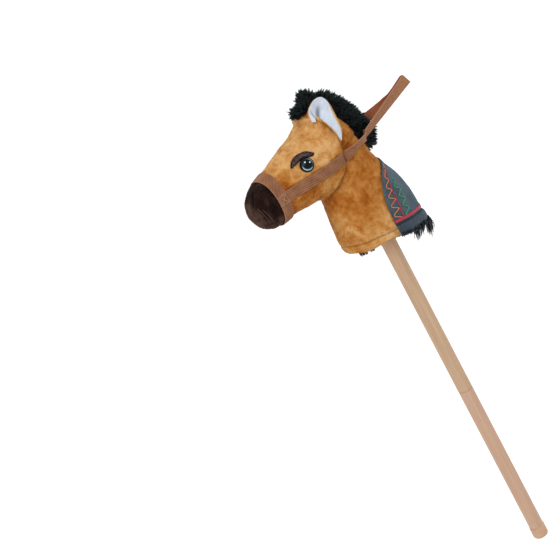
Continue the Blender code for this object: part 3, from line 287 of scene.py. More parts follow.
def spread(start, end, count):
    return np.linspace(start, end, count)


def evenly(items):
    """Rows of a table, with places from 0 to 1 in front."""
    return [(i / (len(items) - 1), *item) for i, item in enumerate(items)]


def smooth_row(rows, place):
    """Values of a table at places in its first column, on a smooth curve through the rows."""
    table = np.array(sorted(rows), float)
    x, values = table[:, 0], table[:, 1:]
    place = np.clip(np.asarray(place, float), x[0], x[-1])
    b = np.clip(np.searchsorted(x, place), 1, len(x) - 1)
    a = b - 1
    before, after = np.maximum(a - 1, 0), np.minimum(b + 1, len(x) - 1)
    step = (x[b] - x[a])[..., None]
    t = (place - x[a])[..., None] / step
    slope_a = (values[b] - values[before]) / (x[b] - x[before])[..., None] * step
    slope_b = (values[after] - values[a]) / (x[after] - x[a])[..., None] * step
    out = (2 * t**3 - 3 * t**2 + 1) * values[a] + (t**3 - 2 * t**2 + t) * slope_a
    out = out + (3 * t**2 - 2 * t**3) * values[b] + (t**3 - t**2) * slope_b
    return np.moveaxis(out, -1, 0)


def bell(value, width, middle=0.0):
    """1 where the value is at the middle, and near 0 from twice the width away."""
    return np.exp(-(((value - middle) / width) ** 2))


def rising(value, width):
    """A soft step from 0 to 1 as the value passes 0."""
    return 1.0 / (1.0 + np.exp(-value / width))


def rounded(value, squareness):
    """Sine or cosine of an oval whose corners are fuller as the squareness grows over 2."""
    return np.sign(value) * np.abs(value) ** (2.0 / squareness)


def oval_reach(offset, half_length, half_width, squareness):
    """Half-width of an oval at an offset along it."""
    share = np.minimum(np.abs(offset) / half_length, 1.0)
    return half_width * (1.0 - share**squareness) ** (1.0 / squareness)


def stack(x, y, z):
    return np.stack(np.broadcast_arrays(x, y, z), -1)


def neck_section(share):
    front, rear, wide = smooth_row(NECK_STATIONS, share)
    front, rear = front * NECK_DEPTH / 2, rear * NECK_DEPTH / 2
    return (front + rear) / 2, (rear - front) / 2, np.maximum(wide * NECK_WIDTH / 2, RIDGE_HALF_WIDTH)


def neck_height(share, y):
    slant = NECK_BASE_SLANT * (1.0 - np.clip(share, 0.0, 1.0))
    return NECK_BASE_HEIGHT + share * NECK_HEIGHT - slant * y


def neck_point(share, angle, grow=0.0):
    """Point on the neck; the angle is 0 at its left side, 90 at its rear."""
    middle, deep, wide = neck_section(share)
    turn = np.radians(angle)
    x = (wide + grow) * rounded(np.cos(turn), NECK_OVAL_RATIO)
    y = middle + (deep + grow) * rounded(np.sin(turn), NECK_OVAL_RATIO)
    return stack(x, y, neck_height(share, y))


def neck_share(y, z):
    height = z - NECK_BASE_HEIGHT
    share = height / NECK_HEIGHT
    for _ in range(4):
        share = (height + NECK_BASE_SLANT * (1.0 - np.clip(share, 0.0, 1.0)) * y) / NECK_HEIGHT
    return share


def neck_side(y, height):
    middle, deep, wide = neck_section(neck_share(y, height + NECK_BASE_HEIGHT))
    return oval_reach(y - middle, deep, wide, NECK_OVAL_RATIO)


def head_section(ahead):
    low, high, wide = smooth_row(HEAD_STATIONS, ahead / HEAD_LENGTH)
    low = NECK_BASE_HEIGHT + HEAD_LIFT + low * HEAD_HEIGHT
    high = NECK_BASE_HEIGHT + HEAD_LIFT + high * HEAD_HEIGHT
    return (low + high) / 2, (high - low) / 2, wide * HEAD_WIDTH / 2


def head_point(ahead, angle, grow=0.0):
    """Point on the head; the angle is 0 at its left side, 90 at its top."""
    middle, tall, wide = head_section(ahead)
    turn = np.radians(angle)
    x = np.maximum(wide + grow, HEAD_TIP_RADIUS) * rounded(np.cos(turn), HEAD_OVAL_RATIO)
    z = middle + np.maximum(tall + grow, HEAD_TIP_RADIUS) * rounded(np.sin(turn), HEAD_OVAL_RATIO)
    return stack(x, -ahead, z)


def head_side(y, height):
    middle, tall, wide = head_section(-y)
    return oval_reach(NECK_BASE_HEIGHT + height - middle, tall, wide, HEAD_OVAL_RATIO)


def body_side(y, height):
    return np.maximum(neck_side(y, height), head_side(y, height))


def outside(across, along, half_across, half_along, ratio):
    """How far outside an oval, in its own sizes: 0 is on it."""
    return (np.abs(across / half_across) ** ratio + np.abs(along / half_along) ** ratio) ** (1 / ratio) - 1.0


def outside_head(points):
    x, y, z = points.T
    middle, tall, wide = head_section(-y)
    out = outside(x, z - middle, wide, tall, HEAD_OVAL_RATIO)
    return np.where((y > 0.0) | (y < -HEAD_LENGTH), 9.0, out)


def outside_neck(points):
    x, y, z = points.T
    share = neck_share(y, z)
    middle, deep, wide = neck_section(share)
    out = outside(x, y - middle, wide, deep, NECK_OVAL_RATIO)
    return np.where((share > 1.0) | (share < -0.02), 9.0, out)


def belongs_to_head(points):
    return (outside_head(points) < outside_neck(points)) & (points[:, 1] < 0.02)


def neck_place(points):
    """Share of the neck's height and angle round it, from -90 to 270 degrees."""
    x, y, z = points.T
    share = neck_share(y, z)
    middle, deep, wide = neck_section(share)
    up, side = (rounded(v, 4 / NECK_OVAL_RATIO) for v in ((y - middle) / deep, x / wide))
    angle = np.degrees(np.arctan2(up, side))
    return share, np.where(angle < -90.0, angle + 360.0, angle)


def run_along(path):
    """Distance along a path at each of its points."""
    return np.concatenate([[0.0], np.cumsum(np.linalg.norm(np.diff(path, axis=0), axis=1))])


# Mesh builders


def unit(vectors):
    return vectors / np.maximum(np.linalg.norm(vectors, axis=-1, keepdims=True), 1e-12)


def grid_faces(rows, columns, wrap=False):
    i = np.arange(rows - 1)[:, None]
    j = np.arange(columns if wrap else columns - 1)[None, :]
    k = (j + 1) % columns
    corners = (i * columns + j, i * columns + k, (i + 1) * columns + k, (i + 1) * columns + j)
    return np.stack(np.broadcast_arrays(*corners), -1).reshape(-1, 4)


def flipped(faces):
    return [f[:, ::-1] for f in faces]


def vertex_normals(points, faces):
    normals = np.zeros_like(points)
    for group in faces:
        first, second, third, last = (points[group[:, k]] for k in (0, 1, -2, -1))
        for corners in group.T:
            np.add.at(normals, corners, np.cross(third - first, last - second))
    return unit(normals)


def grid_normals(grid):
    """Normals of a grid of points, from its rows and columns."""
    down, across = np.gradient(grid, axis=0), np.gradient(grid, axis=1)
    return unit(np.cross(across, down))


def listed(faces):
    return faces if isinstance(faces, list) else [faces]


def add_mesh(name, points, faces, finish, body="horse", uv=None, normals=None, nodes=()):
    """A smooth mesh object that rides on a body and stands for CAD nodes; faces are one or more arrays."""
    mesh = bpy.data.meshes.new(name)
    corners = np.concatenate([g.ravel() for g in listed(faces)]).astype(np.int32)
    sizes = np.concatenate([np.full(len(g), g.shape[1]) for g in listed(faces)])
    mesh.vertices.add(len(points))
    mesh.vertices.foreach_set("co", np.asarray(points, np.float32).ravel())
    mesh.loops.add(len(corners))
    mesh.loops.foreach_set("vertex_index", corners)
    mesh.polygons.add(len(sizes))
    mesh.polygons.foreach_set("loop_start", (np.cumsum(sizes) - sizes).astype(np.int32))
    mesh.update(calc_edges=True)
    mesh.polygons.foreach_set("use_smooth", np.ones(len(sizes), bool))
    if uv is not None:
        mesh.uv_layers.new(name="UVMap").data.foreach_set("uv", uv.astype(np.float32)[corners].ravel())
    if finish:
        mesh.materials.append(finish)
    if normals is not None:
        mesh.normals_split_custom_set_from_vertices(unit(normals).tolist())
    piece = bpy.data.objects.new(name, mesh)
    bpy.context.scene.collection.objects.link(piece)
    if body:
        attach(piece, body)
    if nodes:
        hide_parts(*nodes)
    return piece


def join(parts):
    """Several (points, faces, UV) as one."""
    points, faces, uvs, start = [], {}, [], 0
    for part_points, part_faces, part_uv in parts:
        for group in listed(part_faces):
            faces.setdefault(group.shape[1], []).append(group + start)
        points.append(part_points)
        uvs.append(part_uv)
        start += len(part_points)
    return np.concatenate(points), [np.concatenate(g) for g in faces.values()], np.concatenate(uvs)


def skin_uv(along):
    """UV of a skin under hair: the middle tone, and how far along a hair it looks, which sets its painted
    shade.
    """
    return np.stack([np.full(len(along), 0.5), along], -1)


def add_joined(name, parts, finish, **more):
    points, faces, uv = join(parts)
    return add_mesh(name, points, faces, finish, uv=uv, **more)


def add_haired(name, shell, normals, hair, finish, *nodes):
    """A skin and the hair on it as one piece; the shell is points, faces and UV, the hair has normals too."""
    both = np.concatenate([normals, hair[3]])
    return add_joined(name, [shell, hair[:3]], finish, normals=both, nodes=nodes)


def ripple(points, size, seed):
    """A smooth uneven field of about -1 to 1, with bumps of that size."""
    rng, waves = np.random.default_rng(seed), 14
    wave = unit(rng.normal(size=(waves, 3))) * (2 * math.pi / size) * rng.uniform(0.6, 1.5, (waves, 1))
    phase = rng.uniform(0.0, 2 * math.pi, waves)
    return np.sin(np.asarray(points) @ wave.T + phase).sum(-1) / math.sqrt(waves)


def slab(outer, inner):
    """Closed sheet between two grids of the same size, edges joined."""
    rows, columns = outer.shape[:2]
    back = rows * columns
    index = np.arange(back).reshape(rows, columns)
    rim = np.concatenate([index[0, :-1], index[:-1, -1], index[-1, :0:-1], index[:0:-1, 0]])
    after = np.roll(rim, -1)
    sides = np.stack([rim, rim + back, after + back, after], -1)
    front = grid_faces(rows, columns)
    faces = np.concatenate([front, front[:, ::-1] + back, sides])
    return np.concatenate([outer.reshape(-1, 3), inner.reshape(-1, 3)]), [faces]


def soft_slab(middle, thickness):
    """A sheet round a grid of points, thin in its last two rows so that its edges are rounded."""
    i, j = (np.minimum(np.arange(n), np.arange(n)[::-1]) / 2 for n in middle.shape[:2])
    share = np.minimum.outer(i, j).clip(0.0, 1.0)
    full = np.sqrt(1.0 - (1.0 - share) ** 2)[..., None]
    half = grid_normals(middle) * (thickness / 2) * np.maximum(full, 0.12)
    return slab(middle + half, middle - half)


def closed_loft(rings):
    """Rings joined in order, with both ends closed to their middles."""
    count, size = rings.shape[:2]
    j = np.arange(size)
    k = (j + 1) % size
    end = (count - 1) * size
    caps = [np.stack([np.full(size, count * size), k, j], -1)]
    caps.append(np.stack([np.full(size, count * size + 1), end + j, end + k], -1))
    points = np.concatenate([rings.reshape(-1, 3), rings[[0, -1]].mean(1)])
    return points, [grid_faces(count, size, wrap=True), np.concatenate(caps)]


def thread(path, radius, sides=6):
    """A thread along a path, with UV in metres along and round it; the radius may change along it."""
    along = unit(np.gradient(path, axis=0))
    guide = np.where(np.abs(along[:, 2:]) > 0.9, [[1.0, 0.0, 0.0]], [[0.0, 0.0, 1.0]])
    first = unit(np.cross(along, guide))
    turn = np.arange(sides) / sides * 2 * math.pi
    ring = first[:, None] * np.cos(turn)[:, None] + np.cross(along, first)[:, None] * np.sin(turn)[:, None]
    points, faces = closed_loft(path[:, None] + np.broadcast_to(radius, len(path))[:, None, None] * ring)
    run = run_along(path)
    uv = np.stack(np.meshgrid(run, turn * np.max(radius), indexing="ij"), -1).reshape(-1, 2)
    return points, flipped(faces), np.concatenate([uv, [[run[0], 0.0], [run[-1], 0.0]]])


# Hair


def scatter(points, faces, normals, count, seed):
    """Places on a mesh, spread evenly over its area, and the normals there."""
    rng = np.random.default_rng(seed)
    tris = np.concatenate([f[:, (0, k, k + 1)] for f in faces for k in range(1, f.shape[1] - 1)])
    a, b, c = (points[tris[:, k]] for k in range(3))
    area = np.linalg.norm(np.cross(b - a, c - a), axis=1)
    chosen = tris[rng.choice(len(tris), count, p=area / area.sum())]
    s, t = rng.random((2, count))
    over = s + t > 1.0
    s, t = np.where(over, 1.0 - s, s), np.where(over, 1.0 - t, t)
    weights = np.stack([1.0 - s - t, s, t], -1)[..., None]
    return (points[chosen] * weights).sum(1), unit((normals[chosen] * weights).sum(1))


def pile(roots, normals, flow, length, width, rise, seed):
    """Short hairs, one thin triangle each: points, faces, UV and normals. UV is (hair, root to tip)."""
    rng = np.random.default_rng(seed)
    count, flow = len(roots), np.asarray(flow)
    length = np.broadcast_to(length, count) * rng.uniform(0.55, 1.25, count)
    lie = flow - normals * (flow * normals).sum(-1, keepdims=True)
    lie = unit(lie + rng.normal(size=(count, 3)) * 0.32)
    lean = rise * rng.uniform(0.6, 1.5, (count, 1))
    tips = roots + unit(lie + normals * lean) * length[:, None]
    across = unit(np.cross(lie, normals) + rng.normal(size=(count, 3)) * 0.4) * width / 2
    points = np.stack([roots - across, roots + across, tips], 1).reshape(-1, 3)
    own = np.repeat(rng.random(count), 3)
    uv = np.stack([own, np.tile([PILE_ROOT_SHADE, PILE_ROOT_SHADE, 1.0], count)], -1)
    soft = unit(normals + 0.35 * rng.normal(size=(count, 3)))
    return points, np.arange(3 * count).reshape(-1, 3), uv, np.repeat(soft, 3, 0)


def strands(guides, width, seed, point=0.6):
    """Tapered flat strands along guides of shape (strand, place, 3): points, faces and UV."""
    rng = np.random.default_rng(seed)
    count, places = guides.shape[:2]
    along = unit(guides[:, -1] - guides[:, 0])
    across = unit(np.cross(along, rng.normal(size=(count, 3))))
    taper = (1.0 - spread(0.0, 1.0, places)) ** point * 0.96 + 0.04
    reach = across[:, None] * (np.broadcast_to(width, count)[:, None, None] / 2) * taper[None, :, None]
    points = np.stack([guides - reach, guides + reach], 2).reshape(-1, 3)
    first = np.arange(count)[:, None] * 2 * places + np.arange(places - 1) * 2
    faces = np.stack([first, first + 1, first + 3, first + 2], -1).reshape(-1, 4)
    own = np.repeat(rng.random(count), 2 * places)
    return points, faces, np.stack([own, np.tile(np.repeat(spread(0.0, 1.0, places), 2), count)], -1)


# Finishes


def rgb(red, green, blue):
    """Linear colour of an sRGB one in 0 to 255."""
    linear = [c / 3294.6 if c <= 10.3 else ((c / 255 + 0.055) / 1.055) ** 2.4 for c in (red, green, blue)]
    return (*linear, 1.0)


def put(tree, socket, value):
    """Link a node's output to a socket, or set a value on it; None leaves it alone."""
    if isinstance(value, bpy.types.NodeSocket):
        tree.links.new(value, socket)
    elif value is not None:
        socket.default_value = value


def add_node(tree, kind, *inputs, **settings):
    node = tree.nodes.new("ShaderNode" + kind)
    for label, value in settings.items():
        setattr(node, label, value)
    for socket, value in zip(node.inputs, inputs):
        put(tree, socket, value)
    return node


class Finish:
    """A node material, with short calls for the nodes that it uses."""

    def __init__(self, name, roughness, **sockets):
        self.material = bpy.data.materials.new(name)
        self.material.use_nodes = True
        self.tree = self.material.node_tree
        self.shader = self.tree.nodes["Principled BSDF"]
        self.fill(self.shader, Roughness=roughness, **sockets)
        self.place = self.node("TexCoord").outputs["Object"]

    def node(self, kind, *inputs, **settings):
        return add_node(self.tree, kind, *inputs, **settings)

    def fill(self, node, **inputs):
        for label, value in inputs.items():
            put(self.tree, node.inputs[label.replace("_", " ")], value)
        return node

    def uv(self):
        return self.parts(self.node("UVMap", uv_map="UVMap").outputs[0])[:2]

    def parts(self, vector):
        return self.node("SeparateXYZ", vector).outputs

    def noise(self, scale, detail=3.0, rough=0.55, warp=0.0, at=None):
        node = self.node("TexNoise", at or self.place)
        return self.fill(node, Scale=scale, Detail=detail, Roughness=rough, Distortion=warp).outputs["Fac"]

    def stretched(self, scale, *noise):
        return self.noise(1.0, *noise, at=self.fill(self.node("Mapping", self.place), Scale=scale).outputs[0])

    def math(self, operation, *values):
        return self.node("Math", *values, operation=operation).outputs[0]

    def times(self, a, b):
        return self.math("MULTIPLY", a, b)

    def sum(self, *pairs):
        """Sum of values times their shares."""
        total = 0.0
        for value, share in pairs:
            total = self.math("MULTIPLY_ADD", value, share, total)
        return total

    def reach(self, x, y):
        return self.math("SQRT", self.sum((self.times(x, x), 1.0), (self.times(y, y), 1.0)))

    def wave(self, value, pitch):
        return self.math("SINE", self.times(value, 2 * math.pi / pitch))

    def step(self, value, low, high, start=0.0, end=1.0):
        """A smooth step from start to end as the value goes from low to high."""
        return self.node("MapRange", value, low, high, start, end, interpolation_type="SMOOTHSTEP").outputs[0]

    def ramp(self, value, stops):
        node = self.node("ValToRGB", value)
        marks = node.color_ramp.elements
        while len(marks) < len(stops):
            marks.new(0.5)
        for mark, (place, colour) in zip(marks, stops):
            mark.position, mark.color = place, colour
        return node.outputs[0]

    def mix(self, share, a, b, blend="MIX"):
        unused = [None] * 5
        return self.node("Mix", share, *unused, a, b, data_type="RGBA", blend_type=blend).outputs[2]

    def shaded(self, colour, tone):
        grey = self.node("CombineXYZ", tone, tone, tone).outputs[0]
        return self.mix(1.0, colour, grey, "MULTIPLY")

    def bump(self, height, strength, distance):
        node = self.fill(self.node("Bump"), Strength=strength, Distance=distance, Height=height)
        self.fill(self.shader, Normal=node.outputs[0])

    def done(self, colour, roughness=None):
        self.fill(self.shader, Base_Color=colour, Roughness=roughness)
        return self.material


def plush_finish(name, stops, patch, sheen, tint, tips=(0.62, 1.0, 1.12), slopes=(), mottle=0.60, hair_tone=0.12):
    """Short pile: uneven patches of nap, darkened towards the roots by painted shade; UV is (hair, root to
    tip).

    Each slope is an axis, two places on it, and what the tone gains at both: painted light and shade across a
    part."""
    f = Finish(name, 0.95, Sheen_Weight=sheen, Sheen_Roughness=0.45, Sheen_Tint=tint, Specular_IOR_Level=0.15)
    hair, along = f.uv()
    value = f.sum((f.noise(patch, 2.5, 0.6, 0.6), mottle), (f.noise(patch * 3.7, 3.0, 0.6), 0.5 * mottle),
                  (hair, hair_tone), (0.90 - 1.5 * mottle, 0.5))
    for axis, start, end, low, high in slopes:
        value = f.math("ADD", value, f.step(f.parts(f.place)[axis], start, end, low, high))
    # painted shade: the tone falls from the tips of the pile to its roots
    depth = f.times(f.step(along, 0.0, 0.5, tips[0], tips[1]), f.step(along, 0.5, 1.0, 1.0, tips[2]))
    f.bump(f.noise(patch * 12, 2.0, 0.7), 0.35, 0.001)
    return f.done(f.shaded(f.ramp(value, stops), depth))


def fur_finish(name, root, tip, tint):
    f = Finish(name, 0.55, Sheen_Weight=0.25, Sheen_Roughness=0.4, Sheen_Tint=tint, Specular_IOR_Level=0.35)
    hair, along = f.uv()
    # painted shade: the fur darkens towards its roots, and the core under it takes the root tone
    colour = f.mix(f.step(along, 0.1, 1.0), root, tip)
    return f.done(f.shaded(colour, f.sum((f.noise(60.0), 0.9), (hair, 0.6), (0.45, 1.0))))


def webbing_finish():
    """Twill webbing with firm edges, lighter as a painted highlight; UV is in metres along and across,
    REVERSE more on its reverse side, which is darkened by painted shade.
    """
    f = Finish("webbing_twill", 0.8, Sheen_Weight=0.08, Sheen_Roughness=0.5, Sheen_Tint=rgb(220, 180, 140),
               Specular_IOR_Level=0.2)
    along, across = f.uv()
    reverse = f.step(across, 0.4 * REVERSE, 0.6 * REVERSE)
    across = f.math("MULTIPLY_ADD", reverse, -REVERSE, across)
    lines = f.wave(f.math("MULTIPLY_ADD", across, 0.9, along), 0.0036)
    picks, ribs = f.wave(along, 0.0009), f.wave(across, 0.0013)
    sunk = f.step(f.parts(f.place)[1], -0.030, 0.020)
    value = f.sum((lines, 0.19), (picks, 0.04), (ribs, 0.03), (f.noise(70.0, 3.0, 0.6), 0.55), (0.245, 1.0),
                  (sunk, 0.20))
    base = f.ramp(value, [(0.22, rgb(100, 60, 38)), (0.5, rgb(146, 96, 66)), (0.80, rgb(176, 126, 92))])
    # painted highlight along both edges of the webbing
    edge = f.step(f.math("ABSOLUTE", across), WEBBING_WIDTH * 0.44, WEBBING_WIDTH * 0.475)
    colour = f.mix(f.times(edge, 0.75), base, rgb(184, 136, 104))
    # painted shade: the reverse side is darker
    colour = f.mix(reverse, colour, f.mix(1.0, colour, rgb(232, 190, 176), "MULTIPLY"))
    f.bump(f.sum((lines, 0.5), (picks, 0.25), (ribs, 0.25)), 0.5, 0.0004)
    return f.done(colour)


def cloth_finish(name, dark, light, groove=None):
    """Brushed woven cloth, from crossed threads in UV, which is in metres; a groove is two heights, between
    which the cloth is darkened by painted shade.
    """
    f = Finish(name, 0.9, Sheen_Weight=0.3, Sheen_Roughness=0.5, Sheen_Tint=rgb(170, 190, 205))
    along, across = f.uv()
    threads = f.times(f.wave(along, 0.0011), f.wave(across, 0.0011))
    value = f.sum((f.noise(38.0, 3.0, 0.6, 0.5), 0.62), (f.noise(300.0, 2.0, 0.7), 0.32), (threads, 0.07))
    f.bump(f.sum((threads, 0.6), (f.noise(700.0), 0.8)), 0.35, 0.0006)
    colour = f.ramp(value, [(0.32, dark), (0.66, light)])
    if groove:
        low, high = groove
        # painted shade in the recess between the two heights
        inside = f.times(f.step(across, low - 0.0006, low), f.step(across, high + 0.0006, high))
        colour = f.mix(f.times(inside, 0.8), colour, rgb(12, 14, 20))
    return f.done(colour)


def thread_finish(name, dark, light, pitch, rough=0.55):
    """Twisted thread or braid; UV is length and turn, in metres."""
    f = Finish(name, rough, Sheen_Weight=0.25, Sheen_Roughness=0.4, Sheen_Tint=light)
    twist = f.wave(f.math("ADD", *f.uv()), pitch)
    f.bump(twist, 0.5, 0.0004)
    value = f.sum((twist, 0.22), (f.noise(220.0), 0.5), (0.25, 1.0))
    return f.done(f.ramp(value, [(0.2, dark), (0.7, light)]))


def wood_finish(name, dark, light, pores):
    """Turned beech: long grain along the pole, short flecks and a few darker lines."""
    f = Finish(name, 0.5, Coat_Weight=0.12, Coat_Roughness=0.35)
    grain = f.stretched((260.0, 260.0, 7.0), 4.0, 0.6, 0.3)
    wide = f.stretched((60.0, 60.0, 3.0), 3.0, 0.5, 0.8)
    fleck = f.stretched((700.0, 700.0, 110.0), 2.0, 0.5)
    value = f.sum((grain, 0.45), (wide, 0.5), (f.noise(9.0), 0.12))
    base = f.ramp(value, [(0.34, dark), (0.68, light)])
    f.bump(f.sum((grain, 0.8), (fleck, 0.5)), 0.12, 0.0005)
    colour = f.mix(f.times(f.step(fleck, 0.62, 0.72), 0.35), base, pores)
    return f.done(colour, f.step(grain, 0.3, 0.7, 0.42, 0.6))


def plain_finish(name, dark, light, scale, roughness, depth=0.15):
    f = Finish(name, roughness)
    uneven = f.noise(scale, 4.0, 0.6)
    f.bump(uneven, depth, 0.0008)
    return f.done(f.ramp(uneven, [(0.3, dark), (0.7, light)]))


def eye_finish():
    """A moulded eye: black pupil, painted ring brightened towards its lower front by painted light, broken
    arcs of painted light, black rim. UV is in eye radii.
    """
    f = Finish("eye_paint", 0.12, Specular_IOR_Level=0.12)
    x, y = f.uv()
    reach = f.reach(x, y)
    rays = f.math("SINE", f.times(f.math("ARCTAN2", y, x), 26.0))
    # painted light: the ring brightens towards its lower front, less towards its rear
    low = f.step(f.sum((y, -0.75), (x, -0.45)), 0.10, 0.62)
    other = f.step(f.sum((y, 0.35), (x, 0.8)), 0.35, 0.75)
    glow = f.math("MAXIMUM", low, f.times(other, 0.45))
    ring = f.times(f.step(reach, 0.52, 0.64), f.step(reach, 0.82, 0.74))
    iris = f.mix(f.sum((rays, 0.12), (glow, 0.6)), rgb(2, 30, 44), rgb(30, 128, 150))
    colour = f.mix(ring, rgb(5, 9, 12), iris)
    # broken arcs of painted light near the ring's edge
    arc = f.times(f.step(reach, 0.67, 0.72), f.step(reach, 0.82, 0.77))
    arc = f.times(arc, f.times(glow, f.step(rays, -1.6, 0.6, 0.45, 1.0)))
    colour = f.mix(arc, colour, rgb(214, 240, 244))
    # painted highlights
    for middle_x, middle_y, size in EYE_HIGHLIGHTS:
        away = f.reach(f.math("SUBTRACT", x, middle_x), f.math("SUBTRACT", y, middle_y))
        colour = f.mix(f.step(away, size, size * 0.6), colour, rgb(252, 253, 255))
    return f.done(colour)


# Camera, light and floor


def by_ray(tree, plain, shown):
    """One shader for the light on the object, and one for what the camera, gloss and clear plastic show."""
    rays = add_node(tree, "LightPath").outputs
    total = rays["Is Camera Ray"]
    for label in ("Is Glossy Ray", "Is Transmission Ray"):
        total = add_node(tree, "Math", total, rays[label], operation="MAXIMUM").outputs[0]
    return add_node(tree, "MixShader", total, plain.outputs[0], shown.outputs[0]).outputs[0]


def empty_tree(owner):
    owner.use_nodes = True
    owner.node_tree.nodes.clear()
    return owner.node_tree


def set_stage():
    scene = bpy.context.scene
    right = Vector(CAMERA_RIGHT).normalized()
    ahead = Vector(CAMERA_AHEAD)
    ahead = (ahead - right * ahead.dot(right)).normalized()
    lens = bpy.data.cameras.new("camera")
    lens.sensor_width, lens.sensor_fit, lens.lens = CAMERA_SENSOR, "HORIZONTAL", CAMERA_LENS
    camera = bpy.data.objects.new("camera", lens)
    scene.collection.objects.link(camera)
    rows = zip(right, right.cross(ahead), -ahead, CAMERA_PLACE)
    camera.matrix_world = Matrix((*rows, (0.0, 0.0, 0.0, 1.0)))
    scene.camera = camera
    scene.view_settings.view_transform = "Standard"

    scene.world = bpy.data.worlds.new("studio")
    tree = empty_tree(scene.world)
    light, white = (add_node(tree, "Background", WHITE, strength) for strength in (WORLD_LIGHT, 1.0))
    add_node(tree, "OutputWorld", by_ray(tree, light, white))

    for name, spot, size, power in LAMPS:
        lamp = bpy.data.lights.new(name, "AREA")
        lamp.shape, lamp.size, lamp.energy = "DISK", size, power
        piece = bpy.data.objects.new(name, lamp)
        scene.collection.objects.link(piece)
        piece.location = spot
        piece.rotation_euler = (Vector(LAMP_AIM) - Vector(spot)).to_track_quat("-Z", "Y").to_euler()

    floor = bpy.data.materials.new("floor")
    tree = empty_tree(floor)
    matte = add_node(tree, "BsdfDiffuse", (0.8, 0.8, 0.8, 1.0))
    glow = add_node(tree, "Emission", WHITE, FLOOR_GLOW)
    both = add_node(tree, "AddShader", matte.outputs[0], glow.outputs[0])
    add_node(tree, "OutputMaterial", by_ray(tree, matte, both))
    corners = [(x * FLOOR_REACH, y * FLOOR_REACH, 0.0) for x, y in ((-1, -1), (1, -1), (1, 1), (-1, 1))]
    add_mesh("floor", corners, np.arange(4)[None], floor, body=None)


# Straps, seams and outlines


def eye_frame(side):
    """Place of the eye on the head and the direction in which it looks."""
    y, height = -EYE_FROM_AXIS, EYE_LIFT
    step = EYE_DIAMETER / 12
    x = head_side(y, height)
    slope_y = (head_side(y + step, height) - head_side(y - step, height)) / (2 * step)
    slope_z = (head_side(y, height + step) - head_side(y, height - step)) / (2 * step)
    out = unit(np.array([1.0, -slope_y, -slope_z])) * np.array([side, 1.0, 1.0])
    return np.array([side * x, y, NECK_BASE_HEIGHT + height]), out


def strap_middle(y):
    """Height of the strap's middle on the head and neck."""
    along = np.clip((y + REIN_END_AHEAD) / (REIN_HINGE_Y + REIN_END_AHEAD), 0.0, 1.0)
    return NECK_BASE_HEIGHT + STRAP_HEIGHT + REIN_END_RISE * smooth_row(REIN_END_STATIONS, along)[0]


def strap_gap(points):
    """How far from the edge of the webbing a point lies; below 0 is under it."""
    x, y, z = points.T
    cheek = np.abs(z - strap_middle(y)) - WEBBING_WIDTH / 2
    cheek = np.where((np.abs(x) < 0.012) | (y > REIN_HINGE_Y), 1.0, np.maximum(cheek, y - REIN_HINGE_Y))
    nose = np.maximum(NOSEBAND_FROM_AXIS - WEBBING_WIDTH / 2 + y, -y - NOSEBAND_FROM_AXIS - WEBBING_WIDTH / 2)
    return np.minimum(cheek, nose)


def line_distance(points, path):
    """Distance from points to a path of straight runs, on both sides of the horse."""
    points = stack(np.abs(points[:, 0]), points[:, 1], points[:, 2])
    best = np.full(len(points), 1.0)
    for a, b in zip(np.array(path), np.array(path[1:])):
        run = b - a
        t = np.clip(((points - a) @ run) / (run @ run), 0.0, 1.0)[:, None]
        best = np.minimum(best, np.linalg.norm(points - a - t * run, axis=1))
    return best


def in_outline(y, z, outline):
    """Whether places seen from the side lie in an outline."""
    inside = np.zeros(len(y), bool)
    for (y1, z1), (y2, z2) in zip(outline, outline[1:] + outline[:1]):
        cross = (z1 > z) != (z2 > z)
        inside ^= cross & (y < (y2 - y1) * (z - z1) / (z2 - z1 + 1e-12) + y1)
    return inside


def brow_outline():
    """The brow patch seen from the side, as (y, z) in metres."""
    eye_z = NECK_BASE_HEIGHT + EYE_LIFT
    return [(-EYE_FROM_AXIS - a * EYE_DIAMETER, eye_z + u * EYE_DIAMETER) for a, u in BROW_OUTLINE]


def under_blanket(points, margin=0.0):
    """Whether points of the neck lie under the blanket; the margin is in degrees at its side edges."""
    share, angle = neck_place(points)
    height = share * NECK_HEIGHT
    near, far = blanket_reach(height / BLANKET_HEIGHT)
    return (height < BLANKET_HEIGHT) & (angle > 90.0 - near + margin) & (angle < 90.0 + far - margin)


# Plush covers


def remeshed(lofts, voxel):
    """One closed skin round several closed lofts, as points and faces."""
    points, faces, _ = join([(p, f, np.zeros((len(p), 2))) for p, f in lofts])
    source = add_mesh("plush_source", points, faces, None, body=None)
    step = source.modifiers.new("skin", "REMESH")
    step.mode, step.voxel_size, step.adaptivity = "VOXEL", voxel, 0.0
    skin = source.evaluated_get(bpy.context.evaluated_depsgraph_get())
    mesh = skin.to_mesh()
    co, corners = np.empty(len(mesh.vertices) * 3), np.empty(len(mesh.loops), np.int32)
    mesh.vertices.foreach_get("co", co)
    mesh.loops.foreach_get("vertex_index", corners)
    skin.to_mesh_clear()
    bpy.data.objects.remove(source, do_unlink=True)
    return co.reshape(-1, 3), corners.reshape(-1, 4)


def relaxed(points, faces, turns):
    """Points drawn half way to the mean of their neighbours, several times."""
    edges = np.concatenate([faces[:, (k, (k + 1) % 4)] for k in range(4)])
    for _ in range(turns):
        total, number = np.zeros_like(points), np.zeros(len(points))
        np.add.at(total, edges[:, 0], points[edges[:, 1]])
        np.add.at(number, edges[:, 0], 1.0)
        points = 0.5 * points + 0.5 * total / number[:, None]
    return points


def flow_of_nap(points, on_head):
    """Which way the nap lies: back and down on the head, down on the neck."""
    head = stack(0.0, 0.9 + 0.2 * ripple(points, 0.05, 21), -0.35 + 0.5 * ripple(points, 0.04, 22))
    neck = stack(0.3 * ripple(points, 0.05, 23), 0.25 + 0.4 * ripple(points, 0.05, 24), -1.0)
    return unit(np.where(on_head[:, None], head, neck))


